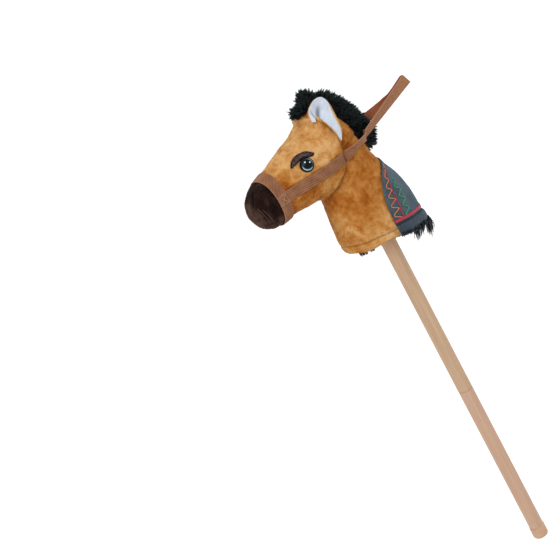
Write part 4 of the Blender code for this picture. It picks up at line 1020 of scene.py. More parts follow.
def front_drop(points):
    """How far the plush sags at the front of the neck's hem."""
    ahead = np.clip((-points[:, 1] - 0.030) / 0.050, 0.0, 1.0) ** 1.5
    return NECK_HEM_SAG * ahead * np.clip(1.0 - (points[:, 2] - 0.672) / 0.080, 0.0, 1.0)


def at_hem(points, on_head, width):
    """1 in the stitched groove above the neck's lower edge."""
    share, _ = neck_place(points)
    return np.where(on_head, 0.0, bell(share * NECK_HEIGHT, width, NECK_HEM_HEIGHT))


def bare(points):
    """Where no pile stands: under straps, blanket, eyes and brows, and against the pole."""
    x, y, z = points.T
    eye, _ = eye_frame(1)
    covered = (strap_gap(points) <= 0.0004) | under_blanket(points, 0.8)
    covered |= y <= WEBBING_WIDTH / 2 - NOSEBAND_FROM_AXIS
    covered |= np.linalg.norm(stack(np.abs(x), y, z) - eye, axis=1) <= EYE_DIAMETER / 2 - 0.0005
    covered |= in_outline(y, z, brow_outline()) & (np.abs(x) > 0.012)
    return covered | (np.hypot(x, y) <= POLE_RADIUS + 0.001)


def add_plush():
    """Covers of head and neck: one skin with jaw fold, hem and dents under the straps, and its pile."""
    turn = np.arange(72) * 5.0 - 90.0
    neck = [neck_point(share, turn, grow) for share, grow in NECK_TUCK]
    neck += [neck_point(share, turn) for share in spread(0.055, 1.0, 30)]
    cut = MUZZLE_SEAM_FROM_AXIS + 0.0045
    head = [head_point(a, turn) for a in spread(cut, 0.0, 34)]
    points, faces = remeshed([closed_loft(np.stack(rings)) for rings in (neck, head)], PLUSH_VOXEL)
    points = relaxed(points, faces, 7)
    normals = vertex_normals(points, [faces])
    on_head = belongs_to_head(points)
    away = line_distance(points, JAW_FOLD)
    fold, hem, gap = bell(away, JAW_FOLD_WIDTH), at_hem(points, on_head, 0.0017), strap_gap(points)
    lift = 0.0008 * ripple(points, 0.055, 3) + 0.00035 * ripple(points, 0.02, 4) - 0.0007
    lift += np.where(on_head, 0.0020, -0.0008) * bell(away, 0.005, 0.008)
    lift -= JAW_FOLD_DEPTH * fold + NECK_HEM_DEPTH * hem
    lift += 0.0007 * bell(gap, 0.003, 0.004) - 0.0011 * rising(-gap, 0.0008)
    lift += 0.0016 * bell(outside_head(points) - outside_neck(points), 0.06) * (points[:, 2] > 0.886)
    points = points + normals * np.where(under_blanket(points), -0.0009, lift)[:, None]
    points[:, 2] -= front_drop(points)
    normals = vertex_normals(points, [faces])
    # painted shade: the skin darkens in the jaw fold, and in the hem groove for its shade and its stitched
    # line together
    shade = 0.42 - 0.12 * fold - 0.30 * hem
    x, y, z = points[faces].mean(1).T
    keep = (y > -(cut - 0.0006)) & ((np.hypot(x, y) >= 0.0148) | (z >= NECK_BASE_HEIGHT + 0.012))
    head_faces = on_head[faces].sum(1) >= 2

    roots, root_normals = scatter(points, [faces], normals, PLUSH_HAIRS, 31)
    on_head, free = belongs_to_head(roots), ~bare(roots)
    away = line_distance(roots, JAW_FOLD)
    hem = at_hem(roots + stack(0.0, 0.0, front_drop(roots)), on_head, 0.0014)
    # hollow is where hairs get painted shade: tight to the jaw fold on the head, broadly beside it on the
    # neck, and in the hem groove with its stitched line
    hollow = np.maximum(bell(away, np.where(on_head, 0.0020, 0.0095)), hem)
    length = PLUSH_LENGTH * (1.0 - np.maximum(0.6 * bell(away, 0.0028), 0.85 * hem))
    for name, faces_here, roots_here, finish, nodes in (
        ("head_cover", head_faces, on_head, PLUSH_HEAD, ("head_panel_left", "head_panel_right")),
        ("neck_cover", ~head_faces, ~on_head, PLUSH_NECK,
         ("neck_panel_left", "neck_panel_right", "neck_base_panel")),
    ):
        used, again = np.unique(faces[keep & faces_here], return_inverse=True)
        pick = free & roots_here
        nap = flow_of_nap(roots[pick], on_head[pick])
        hair = pile(roots[pick], root_normals[pick], nap, length[pick], PLUSH_WIDTH, rise=0.42, seed=41)
        hair[2][:, 1] *= np.repeat(1.0 - 0.74 * hollow[pick], 3)
        shell = (points[used], again.reshape(-1, 4), skin_uv(shade[used]))
        add_haired(name, shell, normals[used], hair, finish, *nodes)


def muzzle_seam(points, width):
    """1 on the seam down the middle of the muzzle."""
    return bell(points[:, 0], width, smooth_row(MUZZLE_SEAM, points[:, 2])[0])


def add_muzzle():
    """The dark end of the head, with its middle seam and the sewn mouth lines."""
    start = MUZZLE_SEAM_FROM_AXIS + 0.0015
    along = HEAD_LENGTH - (HEAD_LENGTH - start) * (1.0 - spread(0.0, 1.0, 46)) ** 1.7
    turn = np.arange(150) * 2.4 - 90.0
    grid = np.stack([head_point(a, turn) for a in along])
    points = np.concatenate([grid.reshape(-1, 3), grid[-1].mean(0)[None]])
    last = len(points) - 1 - len(turn) + np.arange(len(turn))
    cap = np.stack([np.full(len(turn), len(points) - 1), last, np.roll(last, -1)], -1)
    faces = [grid_faces(len(along), len(turn), wrap=True), cap]
    normals = vertex_normals(points, faces)
    seam = muzzle_seam(points, 0.0019) * rising(-MIDDLE_SEAM_FROM_AXIS - points[:, 1], 0.004)
    lines = np.max([bell(line_distance(points, path), 0.0016) for path in MOUTH_LINES], axis=0)
    edge = NOSEBAND_FROM_AXIS + WEBBING_WIDTH / 2
    lift = 0.0007 * ripple(points, 0.03, 6) - 0.0006 - MIDDLE_SEAM_DEPTH * seam
    lift -= MOUTH_LINE_DEPTH * lines + 0.0008 * rising(points[:, 1] + edge, 0.0008)
    points = points + normals * lift[:, None]
    normals = vertex_normals(points, faces)
    roots, root_normals = scatter(points, faces, normals, MUZZLE_HAIRS, 32)
    free = -roots[:, 1] > edge + 0.0004
    roots, root_normals = roots[free], root_normals[free]
    crease = muzzle_seam(roots, 0.0018) * (roots[:, 1] < -MIDDLE_SEAM_FROM_AXIS)
    nap = unit(stack(0.3 * ripple(roots, 0.02, 25), 0.2, -0.9 + 0.4 * ripple(roots, 0.03, 26)))
    length = MUZZLE_PILE_LENGTH * (1.0 - 0.7 * crease)
    hair = pile(roots, root_normals, nap, length, PILE_WIDTH, rise=0.42, seed=42)
    # painted shade: the skin darkens in the middle seam and the mouth lines
    shell = (points, faces, skin_uv(0.42 - 0.32 * np.maximum(seam, lines)))
    add_haired("muzzle", shell, normals, hair, PLUSH_BROWN, "muzzle_cover")
    rows = [smooth_row(evenly(path), spread(0.0, 1.0, 24)).T for path in MOUTH_LINES]
    threads = [thread(row * [side, 1.0, 1.0], MOUTH_THREAD_RADIUS) for _, side in SIDES for row in rows]
    add_joined("mouth_threads", threads, THREAD_BROWN)


def add_brows():
    outline = np.array(brow_outline())
    upper, lower = outline[:5], np.concatenate([outline[:1], outline[:4:-1], outline[4:5]])
    places, share = spread(0.0, 1.0, 60), spread(0.0, 1.0, 14)
    top, low = (smooth_row(evenly(edge), places).T[:, None] for edge in (upper, lower))
    y, z = np.moveaxis(low * (1 - share[:, None]) + top * share[:, None], -1, 0)
    x = head_side(y, z - NECK_BASE_HEIGHT) + SEAT_GAP + BROW_THICKNESS / 2
    # tone of the patch's hairs: lighter in its middle, darker towards its edges
    hair_tone = np.sin(math.pi * share) ** 1.5 * np.sin(math.pi * places)[:, None]
    for label, side in SIDES:
        points, faces = soft_slab(stack(side * x, y, z)[:, ::-side], BROW_THICKNESS)
        normals = vertex_normals(points, faces)
        roots, root_normals = scatter(points, faces, normals, BROW_HAIRS, 33)
        hair = pile(roots, root_normals, (0.0, 0.8, 0.45), BROW_PILE_LENGTH, PILE_WIDTH, rise=0.4, seed=43)
        near = np.argmin(((roots[:, None] - points[None, ::3]) ** 2).sum(-1), axis=1) * 3
        tone = np.tile(hair_tone[:, ::-side].ravel(), 2)
        hair[2][:, 0] = 0.30 * hair[2][:, 0] + 0.70 * np.repeat(tone[near], 3)
        shell = (points, faces, np.stack([tone, np.full(len(points), 0.35)], -1))
        add_haired("brow_patch_" + label, shell, normals, hair, PLUSH_DARK, "brow_" + label)


def add_eyes():
    """Domes with a rounded rim, from a profile of radii and heights above the head."""
    radius, rim = EYE_DIAMETER / 2, EYE_RIM_HEIGHT
    profile = [(0.985, -EYE_SEAT_DEPTH * 0.9)]
    profile += [(0.985 + 0.015 * math.cos(t), 0.0016 * math.sin(t)) for t in np.radians(spread(0.0, 90.0, 6))]
    dome = np.radians(spread(0.0, 90.0, 20))
    profile += [(0.965 * math.cos(t), rim + (EYE_HEIGHT - rim) * math.sin(t)) for t in dome]
    turn = (np.arange(64) * 2 * math.pi / 64)[:, None]
    for label, side in SIDES:
        place, out = eye_frame(side)
        up = unit(np.array([0.0, 0.0, 1.0]) - out * out[2])
        rear = np.cross(up, out)
        ring = radius * (rear * np.cos(turn) + up * np.sin(turn))
        grid = np.concatenate([place + r * ring + out * height for r, height in profile])
        uv = np.stack([(grid - place) @ rear * side, (grid - place) @ up], -1) / radius
        faces = grid_faces(len(profile), len(turn), wrap=True)
        add_mesh("eye_dome_" + label, grid, faces, EYE_PAINT, uv=uv, nodes=("eye_" + label,))


# Ears


def ear_surface(side, places, shares, lift):
    """Grid over the ear, station by station and from its seam to its free edge, cupped."""
    rows = []
    low = NECK_HEIGHT - EAR_BELOW_CREST
    for i, (seam, edge, lean) in enumerate(EAR_STATIONS):
        back = FAR_LOBE_BACK if side < 0 and i > 6 else 0.0
        ends = (seam, (edge[0] - back, edge[1]))
        spots = [(-EAR_FROM_AXIS - EAR_DEPTH * ahead, low + EAR_LENGTH * up) for ahead, up in ends]
        rows.append((float(i), *spots[0], *spots[1], lean * EAR_DEPTH))
    seam_y, seam_h, edge_y, edge_h, lean = smooth_row(rows, places)
    x = body_side(seam_y, seam_h)
    root = stack(x, seam_y, NECK_BASE_HEIGHT + seam_h)[:, None]
    tip = stack(x + lean, edge_y, NECK_BASE_HEIGHT + edge_h)[:, None]
    share = np.broadcast_to(shares, (len(places), np.shape(shares)[-1]))
    grid = root * (1.0 - share[..., None]) + tip * share[..., None]
    cup = EAR_CUP * np.sin(math.pi * share) * np.sin(math.pi * places / (len(EAR_STATIONS) - 1))[:, None]
    grid[..., 0] = side * (grid[..., 0] + lift - cup)
    return grid


def add_ear_back(label, side):
    places, shares = spread(0.0, 8.0, 96), spread(EAR_ROOT_SHARE, 1.0, 22)
    middle = ear_surface(side, places, shares, EAR_STAND_OFF + EAR_THICKNESS / 2)
    points, faces = soft_slab(middle, EAR_THICKNESS)
    normals = vertex_normals(points, faces)
    roots, root_normals = scatter(points, faces, normals, EAR_HAIRS, 34)
    length = np.where(np.abs(root_normals[:, 0]) > 0.8, *EAR_PILE_LENGTHS)
    hair = pile(roots, root_normals, (0.0, 0.2, -1.0), length, PILE_WIDTH, rise=0.4, seed=44)
    shell = (points, faces, skin_uv(np.full(len(points), 0.4)))
    add_haired("ear_back_" + label, shell, normals, hair, PLUSH_HEAD, "ear_" + label)


def add_ear_lining(label, side):
    """White cloth inside the ear, puffed, with a hollow and a crease beside the front lobe, both darkened by
    painted shade, and painted light on the front lobe.
    """
    places, share = spread(LINING_TRIM, 8.0 - LINING_TRIM, 110), spread(0.0, 1.0, 26)
    end = LINING_SHARES[1] + 0.055 - 0.19 * rising(2.9 - places, 0.45) + 0.055 * rising(places - 5.4, 0.3)
    start = LINING_SHARES[0] - 0.09 * bell(places, 1.5, 2.7)
    lift = EAR_STAND_OFF + EAR_THICKNESS + EAR_LINING_THICKNESS / 2 + 0.0003
    middle = ear_surface(side, places, start[:, None] + (end - start)[:, None] * share, lift)
    place = places[:, None]
    puff = np.sin(math.pi * share) * (0.0026 * bell(place, 0.8, 7.1) + 0.0022 * bell(place, 1.7, 2.6))
    puff += 0.0018 * share**2 * bell(place, 1.0, 5.4)
    crease = bell(place, 0.24, 6.95 - 0.25 * share) * np.clip(1.3 - share, 0.0, 1.0)
    hollow = bell(place, 0.75, 5.1) * np.clip(1.0 - (share / 0.8) ** 2, 0.0, 1.0)
    middle[..., 0] += side * (puff - 0.0010 * hollow - 0.0014 * crease)
    points, faces = soft_slab(middle, EAR_LINING_THICKNESS)
    # painted shade in the hollow, the crease and near the seam, and painted light on the front lobe
    dark = np.maximum(np.maximum(hollow, 0.85 * crease), 0.3 * (1.0 - share) ** 3)
    depth = 0.55 + 0.35 * (place > 7.1) - 0.52 * np.clip(dark, 0.0, 1.0)
    add_mesh("ear_lining_cloth_" + label, points, faces, LINING_WHITE, uv=skin_uv(np.tile(depth.ravel(), 2)),
             nodes=("ear_lining_" + label,))


# Mane and forelock


def fur_block(name, node, rings, flow, length, core_scale, drawn_in, count, clumps, seed):
    """Straight fur from a dark core inside the rings: strands in clumps that end in spikes."""
    middle = rings.mean(1, keepdims=True)
    core, faces = closed_loft(middle + (rings - middle) * core_scale)
    centre = core[:, 1:].mean(0)
    core[:, 1:] = centre + (core[:, 1:] - centre) * drawn_in
    faces = flipped(faces)
    normals = vertex_normals(core, faces)
    roots, out = scatter(core, faces, normals, count, seed)
    rng = np.random.default_rng(seed + 1)
    centres, centre_out = scatter(core, faces, normals, clumps, seed + 2)
    nearest = np.argmin(((roots[:, None] - centres[None]) ** 2).sum(-1), axis=1)
    way = unit(0.55 * centre_out + flow(centres) + rng.normal(size=centres.shape) * 0.24)
    reach = length * np.where(rng.random((clumps, 1)) < 0.2, 1.45, 1.0) * rng.uniform(0.8, 1.15, (clumps, 1))
    far = centres + way * reach
    own = roots + unit(0.6 * out + flow(roots) + rng.normal(size=roots.shape) * 0.22) * length
    pull = rng.uniform(0.55, 0.95, (count, 1))
    tips = own * (1 - pull) + (far[nearest] + rng.normal(size=roots.shape) * 0.0006) * pull
    t = spread(0.0, 1.0, 4)[:, None]
    guides = roots[:, None] * (1 - t) + tips[:, None] * t + out[:, None] * (0.2 * length * t * (1 - t))
    hair = strands(guides, FUR_WIDTH * rng.uniform(0.6, 1.3, count), seed + 3, point=0.8)
    soft = unit(0.6 * out + 0.4 * unit(tips - roots) + 0.25 * rng.normal(size=roots.shape))
    shell = (core, faces, skin_uv(np.zeros(len(core))))
    add_haired(name, shell, normals, (*hair, np.repeat(soft, 8, 0)), FUR_BLACK, node)


def add_mane():
    rings = []
    size = np.array([NECK_DEPTH, NECK_HEIGHT])
    rows = evenly([(*inner, *outer, wide) for inner, outer, wide in MANE_STATIONS])
    turn = np.arange(36) * math.pi / 18
    for place in spread(0.0, 1.0, 41):
        *ends, wide = smooth_row(rows, place)
        low, high = ends[:2] * size, ends[2:] * size
        y, height = ((low + high) / 2 + np.outer(rounded(np.sin(turn), 2.4), (high - low) / 2)).T
        rings.append(stack(MANE_HALF_WIDTH * wide * rounded(np.cos(turn), 2.4), y, NECK_BASE_HEIGHT + height))
    rings = np.stack(rings)

    def flow(points):
        i = np.argmin(((points[:, None] - rings.mean(1)[None]) ** 2).sum(-1), axis=1)
        onward = unit(np.gradient(rings.mean(1), axis=0))[i]
        return 0.60 * unit(rings[i, 9] - rings[i, 27]) + 0.45 * onward

    fur_block("mane_fur", "mane", rings[1:37], flow, MANE_FUR_LENGTH,
              core_scale=0.74, drawn_in=0.98, count=24000, clumps=1100, seed=51)


def add_forelock():
    rows = [(-ahead, ahead, low, high, wide) for ahead, low, high, wide in FORELOCK_STATIONS]
    rings = []
    turn = np.arange(30) * math.pi / 15
    for place in spread(-1.0, 0.0, 25):
        ahead, low, high, wide = smooth_row(rows, place)
        middle, reach = FORELOCK_HEIGHT * (low + high) / 2, FORELOCK_HEIGHT * (high - low) / 2
        x = FORELOCK_HALF_WIDTH * wide * rounded(np.cos(turn), 2.2)
        z = NECK_BASE_HEIGHT + NECK_HEIGHT + middle + reach * rounded(np.sin(turn), 2.2)
        rings.append(stack(x, -ahead * FORELOCK_DEPTH, z))

    def flow(points):
        return unit(points - np.array(FORELOCK_CENTRE)) * 0.9

    fur_block("forelock_fur", "forelock", np.stack(rings), flow, FORELOCK_FUR_LENGTH,
              core_scale=0.70, drawn_in=0.82, count=11000, clumps=330, seed=61)


# Bridle


def strap_section():
    """Points round the webbing's section, across and outward, with rounded sides."""
    r, half = WEBBING_THICKNESS / 2, WEBBING_WIDTH / 2
    v = spread(-half + r, half - r, 11)
    right = [(half - r + r * math.cos(t), r + r * math.sin(t)) for t in np.radians([50.0, 0.0, -50.0])]
    left = [(-a, h) for a, h in right[::-1]]
    return np.array([(a, 2 * r) for a in v] + right + [(a, 0.0) for a in v[::-1]] + left)


def strap_mesh(surface, places):
    """Webbing over a surface(place, across, outward): points, faces and UV in metres."""
    across, out = strap_section().T
    grid = np.stack([surface(place, across, out) for place in places])
    side = across + np.where(out < WEBBING_THICKNESS / 2, REVERSE, 0.0)
    uv = stack(run_along(grid[:, 5])[:, None], side, 0.0)[..., :2].reshape(-1, 2)
    size = len(across)
    ends = np.stack([np.arange(size)[::-1], (len(places) - 1) * size + np.arange(size)])
    return grid.reshape(-1, 3), [grid_faces(len(places), size, wrap=True), ends], uv


def stitches(path, out):
    """Short raised stitches along a path, with the direction out of the cloth."""
    run, length, radius = run_along(path), STITCH_LENGTH, STITCH_RADIUS
    parts = []
    for start in np.arange(0.0, run[-1] - length * 0.8, STITCH_PITCH):
        places = start + spread(0.0, min(length, run[-1] - start), 5)
        line = np.stack([np.interp(places, run, path[:, k]) for k in range(3)], -1)
        lift = radius * (np.sin(spread(0.0, math.pi, 5)) * 1.3 - 0.5)
        parts.append(thread(line + out * lift[:, None], radius * np.array([0.7, 1.0, 1.0, 1.0, 0.7]), 5))
    return parts


def fold_dip(away):
    """How far the webbing dips into the fold behind the cheek, at a distance from it."""
    return STRAP_DIP * bell(away, JAW_FOLD_WIDTH)


def box_stitches(side):
    """A sewn box with a cross where the cheek strap meets the noseband."""
    half_y, half_h = WEBBING_WIDTH * 0.36, WEBBING_WIDTH * 0.38
    signs = ((-1, -1), (1, -1), (1, 1), (-1, 1))
    a, b, c, d = ((i * half_y - NOSEBAND_FROM_AXIS, STRAP_HEIGHT + k * half_h) for i, k in signs)
    parts = []
    for (y_start, h_start), (y_end, h_end) in ((a, b), (b, c), (c, d), (d, a), (a, c), (b, d)):
        y, height = spread(y_start, y_end, 12), spread(h_start, h_end, 12)
        x = head_side(y, height) + NOSEBAND_GAP + WEBBING_THICKNESS + 0.0001
        path = stack(side * x, y, NECK_BASE_HEIGHT + height)
        parts += stitches(path, np.array([side, 0.0, 0.0]))
    return parts


def add_bridle():
    def nose(angle, across, out):
        return head_point(NOSEBAND_FROM_AXIS + across, angle, NOSEBAND_GAP + out)

    points, faces, uv = strap_mesh(nose, spread(-90.0, 270.0, 145))
    add_mesh("noseband_webbing", points, flipped(faces), WEBBING, uv=uv, nodes=("noseband",))
    seams = []
    start = -(NOSEBAND_FROM_AXIS - WEBBING_WIDTH / 2 + 0.0035)
    for label, side in SIDES:

        def cheek(y, across, out):
            height = STRAP_HEIGHT + across
            x = body_side(y, height) + SEAT_GAP + out - fold_dip(y + REIN_END_AHEAD)
            return stack(side * x, y, NECK_BASE_HEIGHT + height)

        points, faces, uv = strap_mesh(cheek, spread(start, -REIN_END_AHEAD + 0.0015, 80))
        faces = flipped(faces) if side > 0 else faces
        add_mesh("cheek_webbing_" + label, points, faces, WEBBING, uv=uv, nodes=("cheek_strap_" + label,))
        seams += box_stitches(side)
    add_joined("bridle_stitches", seams, THREAD_TAN)


def clear_of_neck(y, height, twist, margin):
    """How far out the webbing's middle must lie for its whole width to clear the neck."""
    lean, rise = math.sin(math.radians(twist)), math.cos(math.radians(twist))
    part = spread(-1.0, 1.0, 9) * WEBBING_WIDTH / 2
    return float((neck_side(y, height + rise * part) - lean * part).max()) + WEBBING_THICKNESS / 2 + margin


def hinge_clearance(height, twist):
    """How far out the webbing must lie at the hinge to clear the neck as it swings."""
    turn = np.radians(spread(0.0, 315.0, 8))
    y, heights = REIN_HINGE_Y + REIN_HINGE_RADIUS * np.cos(turn), height + REIN_HINGE_RADIUS * np.sin(turn)
    widest = float(neck_side(y, heights).max())
    return widest + math.sin(math.radians(twist)) * WEBBING_WIDTH / 2 + WEBBING_THICKNESS


def rein_end_route():
    """Places and twists of the left rein's end on the neck."""
    route = []
    last_height, last_twist = STRAP_HEIGHT + REIN_END_RISE, REIN_END_STATIONS[-1][2]
    seat = clear_of_neck(REIN_HINGE_Y, last_height, last_twist, 2 * SEAT_GAP)
    lift = max(hinge_clearance(last_height, last_twist) - seat, 0.0)
    for along in spread(0.0, 1.0, 28):
        rise, twist = smooth_row(REIN_END_STATIONS, along)
        y = (REIN_HINGE_Y + REIN_END_AHEAD) * along - REIN_END_AHEAD
        height = STRAP_HEIGHT + REIN_END_RISE * rise
        x = clear_of_neck(y, height, float(twist), 2 * SEAT_GAP) + lift * along * along
        x -= float(fold_dip(y + REIN_END_AHEAD))
        route.append((x, y, NECK_BASE_HEIGHT + height, float(twist)))
    return route


def rein_route():
    """Places and twists of the rein from the left side of the neck, round the loop, to the right side."""
    *left, start = rein_end_route()
    right = [(-x, y, z, -twist) for x, y, z, twist in left]
    for share in spread(0.0, 1.0, 30):
        over, near, far = smooth_row(REIN_STATIONS, share)
        x = start[0] + (REIN_END_GAP - start[0]) * share
        y, z = start[1] + REIN_LENGTH * share, start[2] + REIN_LOOP_RISE * share
        left.append((x, y, z, near))
        right.append((-start[0] * (1.0 - over) + (x - 2 * REIN_END_GAP) * over, y, z, far))
    bend = [(REIN_END_GAP * math.cos(t), y + REIN_END_GAP * math.sin(t), z, near)
            for t in np.radians(spread(15.0, 165.0, 11))]
    route = np.array(left + bend + right[::-1], float)
    run = run_along(route[:, :3])
    fine = np.concatenate([spread(a, b, 4)[:-1] for a, b in zip(run, run[1:])] + [run[-1:]])
    return smooth_row(np.column_stack([run, route]).tolist(), fine)


def add_reins():
    *place, twist = rein_route()
    place, twist = np.stack(place, -1), np.radians(twist)
    along = unit(np.gradient(place, axis=0))
    across = stack(np.sin(twist), 0.0, np.cos(twist))
    across = unit(across - along * (across * along).sum(1, keepdims=True))
    out = np.cross(along, across)
    near_end = np.clip((place[:, 1:2] - REIN_HINGE_Y) / REIN_LENGTH, 0.0, 1.0) ** 4
    across = across - np.array([0.0, 0.98, 0.20]) * REIN_FOLD_SKEW * near_end

    def rein(i, side, height):
        return place[i] + np.outer(side, across[i]) + np.outer(height - WEBBING_THICKNESS / 2, out[i])

    points, faces, uv = strap_mesh(rein, range(len(place)))
    piece = add_mesh("reins_webbing", points, flipped(faces), WEBBING, body=None, uv=uv,
                     nodes=("reins", "rein_end_left", "rein_end_right"))
    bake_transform(piece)


# Blanket


def blanket_reach(share):
    """How far round the neck the blanket reaches at a share of its own height, near and far side."""
    top = np.sqrt(np.maximum(1.0 - np.clip(share, 0.0, 1.0) ** BLANKET_ARCH, 0.0))
    return np.maximum(BLANKET_NEAR_REACH * top, 5.0), np.maximum(BLANKET_FAR_REACH * top, 5.0)


def blanket_point(height, across, grow):
    """Point on the blanket: height above its hem in metres, place from -1 (near) to 1 (far)."""
    height, across = np.asarray(height, float), np.asarray(across, float)
    share = np.clip(height / BLANKET_HEIGHT, 0.0, 1.0)
    near, far = blanket_reach(share)
    angle = 90.0 + across * np.where(across < 0, near, far)
    fold = 0.5 - 0.5 * np.cos(2 * math.pi * BLANKET_FOLDS * (across + 1) / 2)
    soft = 0.0005 * np.sin(9.0 * across + 40.0 * height)
    soft = soft + 0.0004 * np.sin(17.0 * across - 70.0 * height + 1.0)
    grow = grow + BLANKET_FOLD_DEPTH * (1.0 - share) ** 1.5 * fold
    grow = grow + np.maximum(soft - 0.0016 * bell(height, 0.0016, 0.0238), -0.0007)
    return neck_point(height / NECK_HEIGHT, angle, BLANKET_STAND_OFF + grow)


def add_cloth(name, middle, thickness, finish, node):
    """A cloth piece round a grid of points, with UV in metres from the grid's middle column."""
    points, faces = soft_slab(middle, thickness)
    return add_mesh(name, points, faces, finish, uv=cloth_uv(middle), nodes=(node,))


def cloth_uv(grid):
    """UV in metres along the rows and columns of a grid of points, for both sides of a slab."""
    across = np.linalg.norm(np.diff(grid, axis=1), axis=2).cumsum(1)
    down = np.linalg.norm(np.diff(grid, axis=0), axis=2).cumsum(0)
    u = np.pad(across, ((0, 0), (1, 0)))
    middle = grid.shape[1] // 2
    uv = np.stack([u - u[:, middle:middle + 1], np.pad(down, ((1, 0), (0, 0)))], -1).reshape(-1, 2)
    return np.concatenate([uv, uv])


def add_hem(across):
    """The doubled edge strip, puffed between its seams and lower at its ends."""
    v = spread(0.0, 1.0, 14)[:, None]
    corner = 0.0045 * np.clip((np.abs(across) - 0.955) / 0.045, 0.0, 1.0) ** 2
    uneven = 0.0006 * np.sin(23.0 * across + 1.0) * (1.0 - v)
    level = BLANKET_THICKNESS + TRIM_GAP + HEM_THICKNESS / 2 + uneven
    middle = blanket_point(HEM_HEIGHT * v + corner * (1.0 - 2.0 * v), across, level)
    puff = 0.0013 * np.sin(math.pi * v) ** 0.7 * (1.0 + 0.35 * np.sin(60.0 * across + 3.0 * v) * (1.0 - v))
    round_edge = np.sqrt(np.clip(np.minimum(v, 1.0 - v) / 0.12, 0.08, 1.0))
    half = grid_normals(middle) * ((HEM_THICKNESS / 2 + puff) * round_edge)[..., None]
    points, faces = slab(middle + half, middle - half)
    return add_mesh("blanket_hem_band", points, faces, CLOTH_HEM, uv=cloth_uv(middle), nodes=("blanket_hem",))


def add_blanket():
    straight = spread(0.0, 0.24 * NECK_HEIGHT, 34)
    widest = math.sqrt(1.0 - (straight[-1] / BLANKET_HEIGHT) ** BLANKET_ARCH)
    arch = BLANKET_HEIGHT * (1.0 - spread(widest, 0.0, 26)[1:] ** 2) ** (1 / BLANKET_ARCH)
    heights = np.concatenate([straight, arch])[:, None]
    middle = blanket_point(heights, spread(-1.0, 1.0, 150), BLANKET_THICKNESS / 2)
    blanket = add_cloth("blanket_cloth", middle, BLANKET_THICKNESS, CLOTH_BLUE, "blanket")
    across = spread(-1.0, 1.0, 220)
    trims = [add_hem(across)]
    heights = RIBBON_HEIGHT + RIBBON_WIDTH * spread(-0.5, 0.5, 7)[:, None]
    middle = blanket_point(heights, across, BLANKET_THICKNESS + TRIM_GAP + RIBBON_THICKNESS / 2)
    trims.append(add_cloth("blanket_ribbon_satin", middle, RIBBON_THICKNESS, RIBBON_RED, "blanket_ribbon"))
    trims += [*add_braids(), add_fringe()]


def add_braids():
    """Round braids on both sides: a rounded wave, a nearly straight line and a zigzag."""
    start = RIBBON_HEIGHT + RIBBON_WIDTH / 2
    arc_length = math.radians(BLANKET_NEAR_REACH) * NECK_DEPTH / 2
    made = []
    for (name, lower, upper, top_share), finish in zip(BRAIDS, (BRAID_ORANGE, BRAID_RED, BRAID_GREEN)):
        top = top_share * BLANKET_HEIGHT
        height = spread(start, top, 150)
        phase = 2 * math.pi * (height - start) / ZIGZAG_PITCH
        if name == "braid_orange":
            offset = 1.02 * WAVE_DEPTH * (1.0 - 2.0 * np.abs(np.sin(phase / 2)) ** 1.35)
        elif name == "braid_red":
            offset = 0.0009 * np.sin(phase * 0.9 + 1.0)
        else:
            offset = -1.45 * WAVE_DEPTH * (2.0 / math.pi) * np.arcsin(0.985 * np.sin(phase + 0.8))
        across = lower + (upper - lower) * (height - start) / (top - start) + offset / arc_length
        for label, side in (("near", 1), ("far", -1)):
            path = blanket_point(height, side * across, BLANKET_THICKNESS + 0.0007)
            cord = thread(path, CORD_RADIUS, 8)
            made.append(add_joined(name + "_cord_" + label, [cord], finish, nodes=(name + "_" + label,)))
    return made


def add_fringe():
    """Feather-like wisps that hang from below the hem, longest at its rear, each a bundle of fine barbs."""
    rng = np.random.default_rng(71)
    parts = []
    t = spread(0.0, 1.0, 7)[:, None]
    for across in np.sort(rng.uniform(-0.985, 0.985, 230)):
        size, flare = smooth_row(FRINGE_STATIONS, across)
        length = FRINGE_LENGTH * size * rng.uniform(0.6, 1.15)
        height = rng.uniform(0.003, 0.009)
        root = blanket_point(height, across, BLANKET_THICKNESS + 0.0045 + rng.uniform(0.0, 0.001))
        out = unit(blanket_point(0.004, across, 0.01) - blanket_point(0.004, across, 0.0))
        side = unit(np.cross(out, [0.0, 0.0, 1.0]))
        lean = rng.normal(0.0, 0.22)
        reach = flare * rng.uniform(0.4, 1.25)
        way = unit(np.array([0.0, -0.5 * min(max(0.3 - across, 0.0), 1.0), -0.9]))
        spine = root + way * (length + 0.006) * t
        spine = spine + out * (reach * length * t * (0.55 + 0.45 * t)) + side * (lean * length * t**1.3)
        barbs = 9 if length > 0.012 else 4
        loose = rng.normal(0.0, 0.0010, (barbs, 1, 3)) * (0.3 + 2.6 * np.sin(math.pi * t * 0.85))
        guides = spine + loose * np.clip(t * 3.0, 0.0, 1.0)
        cut = rng.uniform(0.60, 1.0, (barbs, 1, 1))
        guides = guides[:, :1] + (guides - guides[:, :1]) * cut
        parts.append(strands(guides, rng.uniform(0.0008, 0.0016), int(rng.integers(1e6))))
    for centre, wide in FAR_TABS:
        for _ in range(9):
            y = centre + rng.uniform(-wide, wide)
            drop = 0.17 * (y - FAR_TABS[0][0])
            root = np.array([FAR_TAB_TOP[0], y, FAR_TAB_TOP[1]])
            tip = np.array([FAR_TAB_END[0], y, FAR_TAB_END[1] - drop + rng.uniform(-0.0007, 0.0007)])
            guides = root * (1 - t) + tip * t + rng.normal(0.0, 0.0009, (9, 1, 3)) * t * [0.5, 1.6, 0.1]
            parts.append(strands(guides, 0.0022, int(rng.integers(1e6)), point=0.15))
    return add_joined("blanket_fringe_wisps", parts, FRINGE_BLACK, nodes=("blanket_fringe",))


# Pole and what lies inside


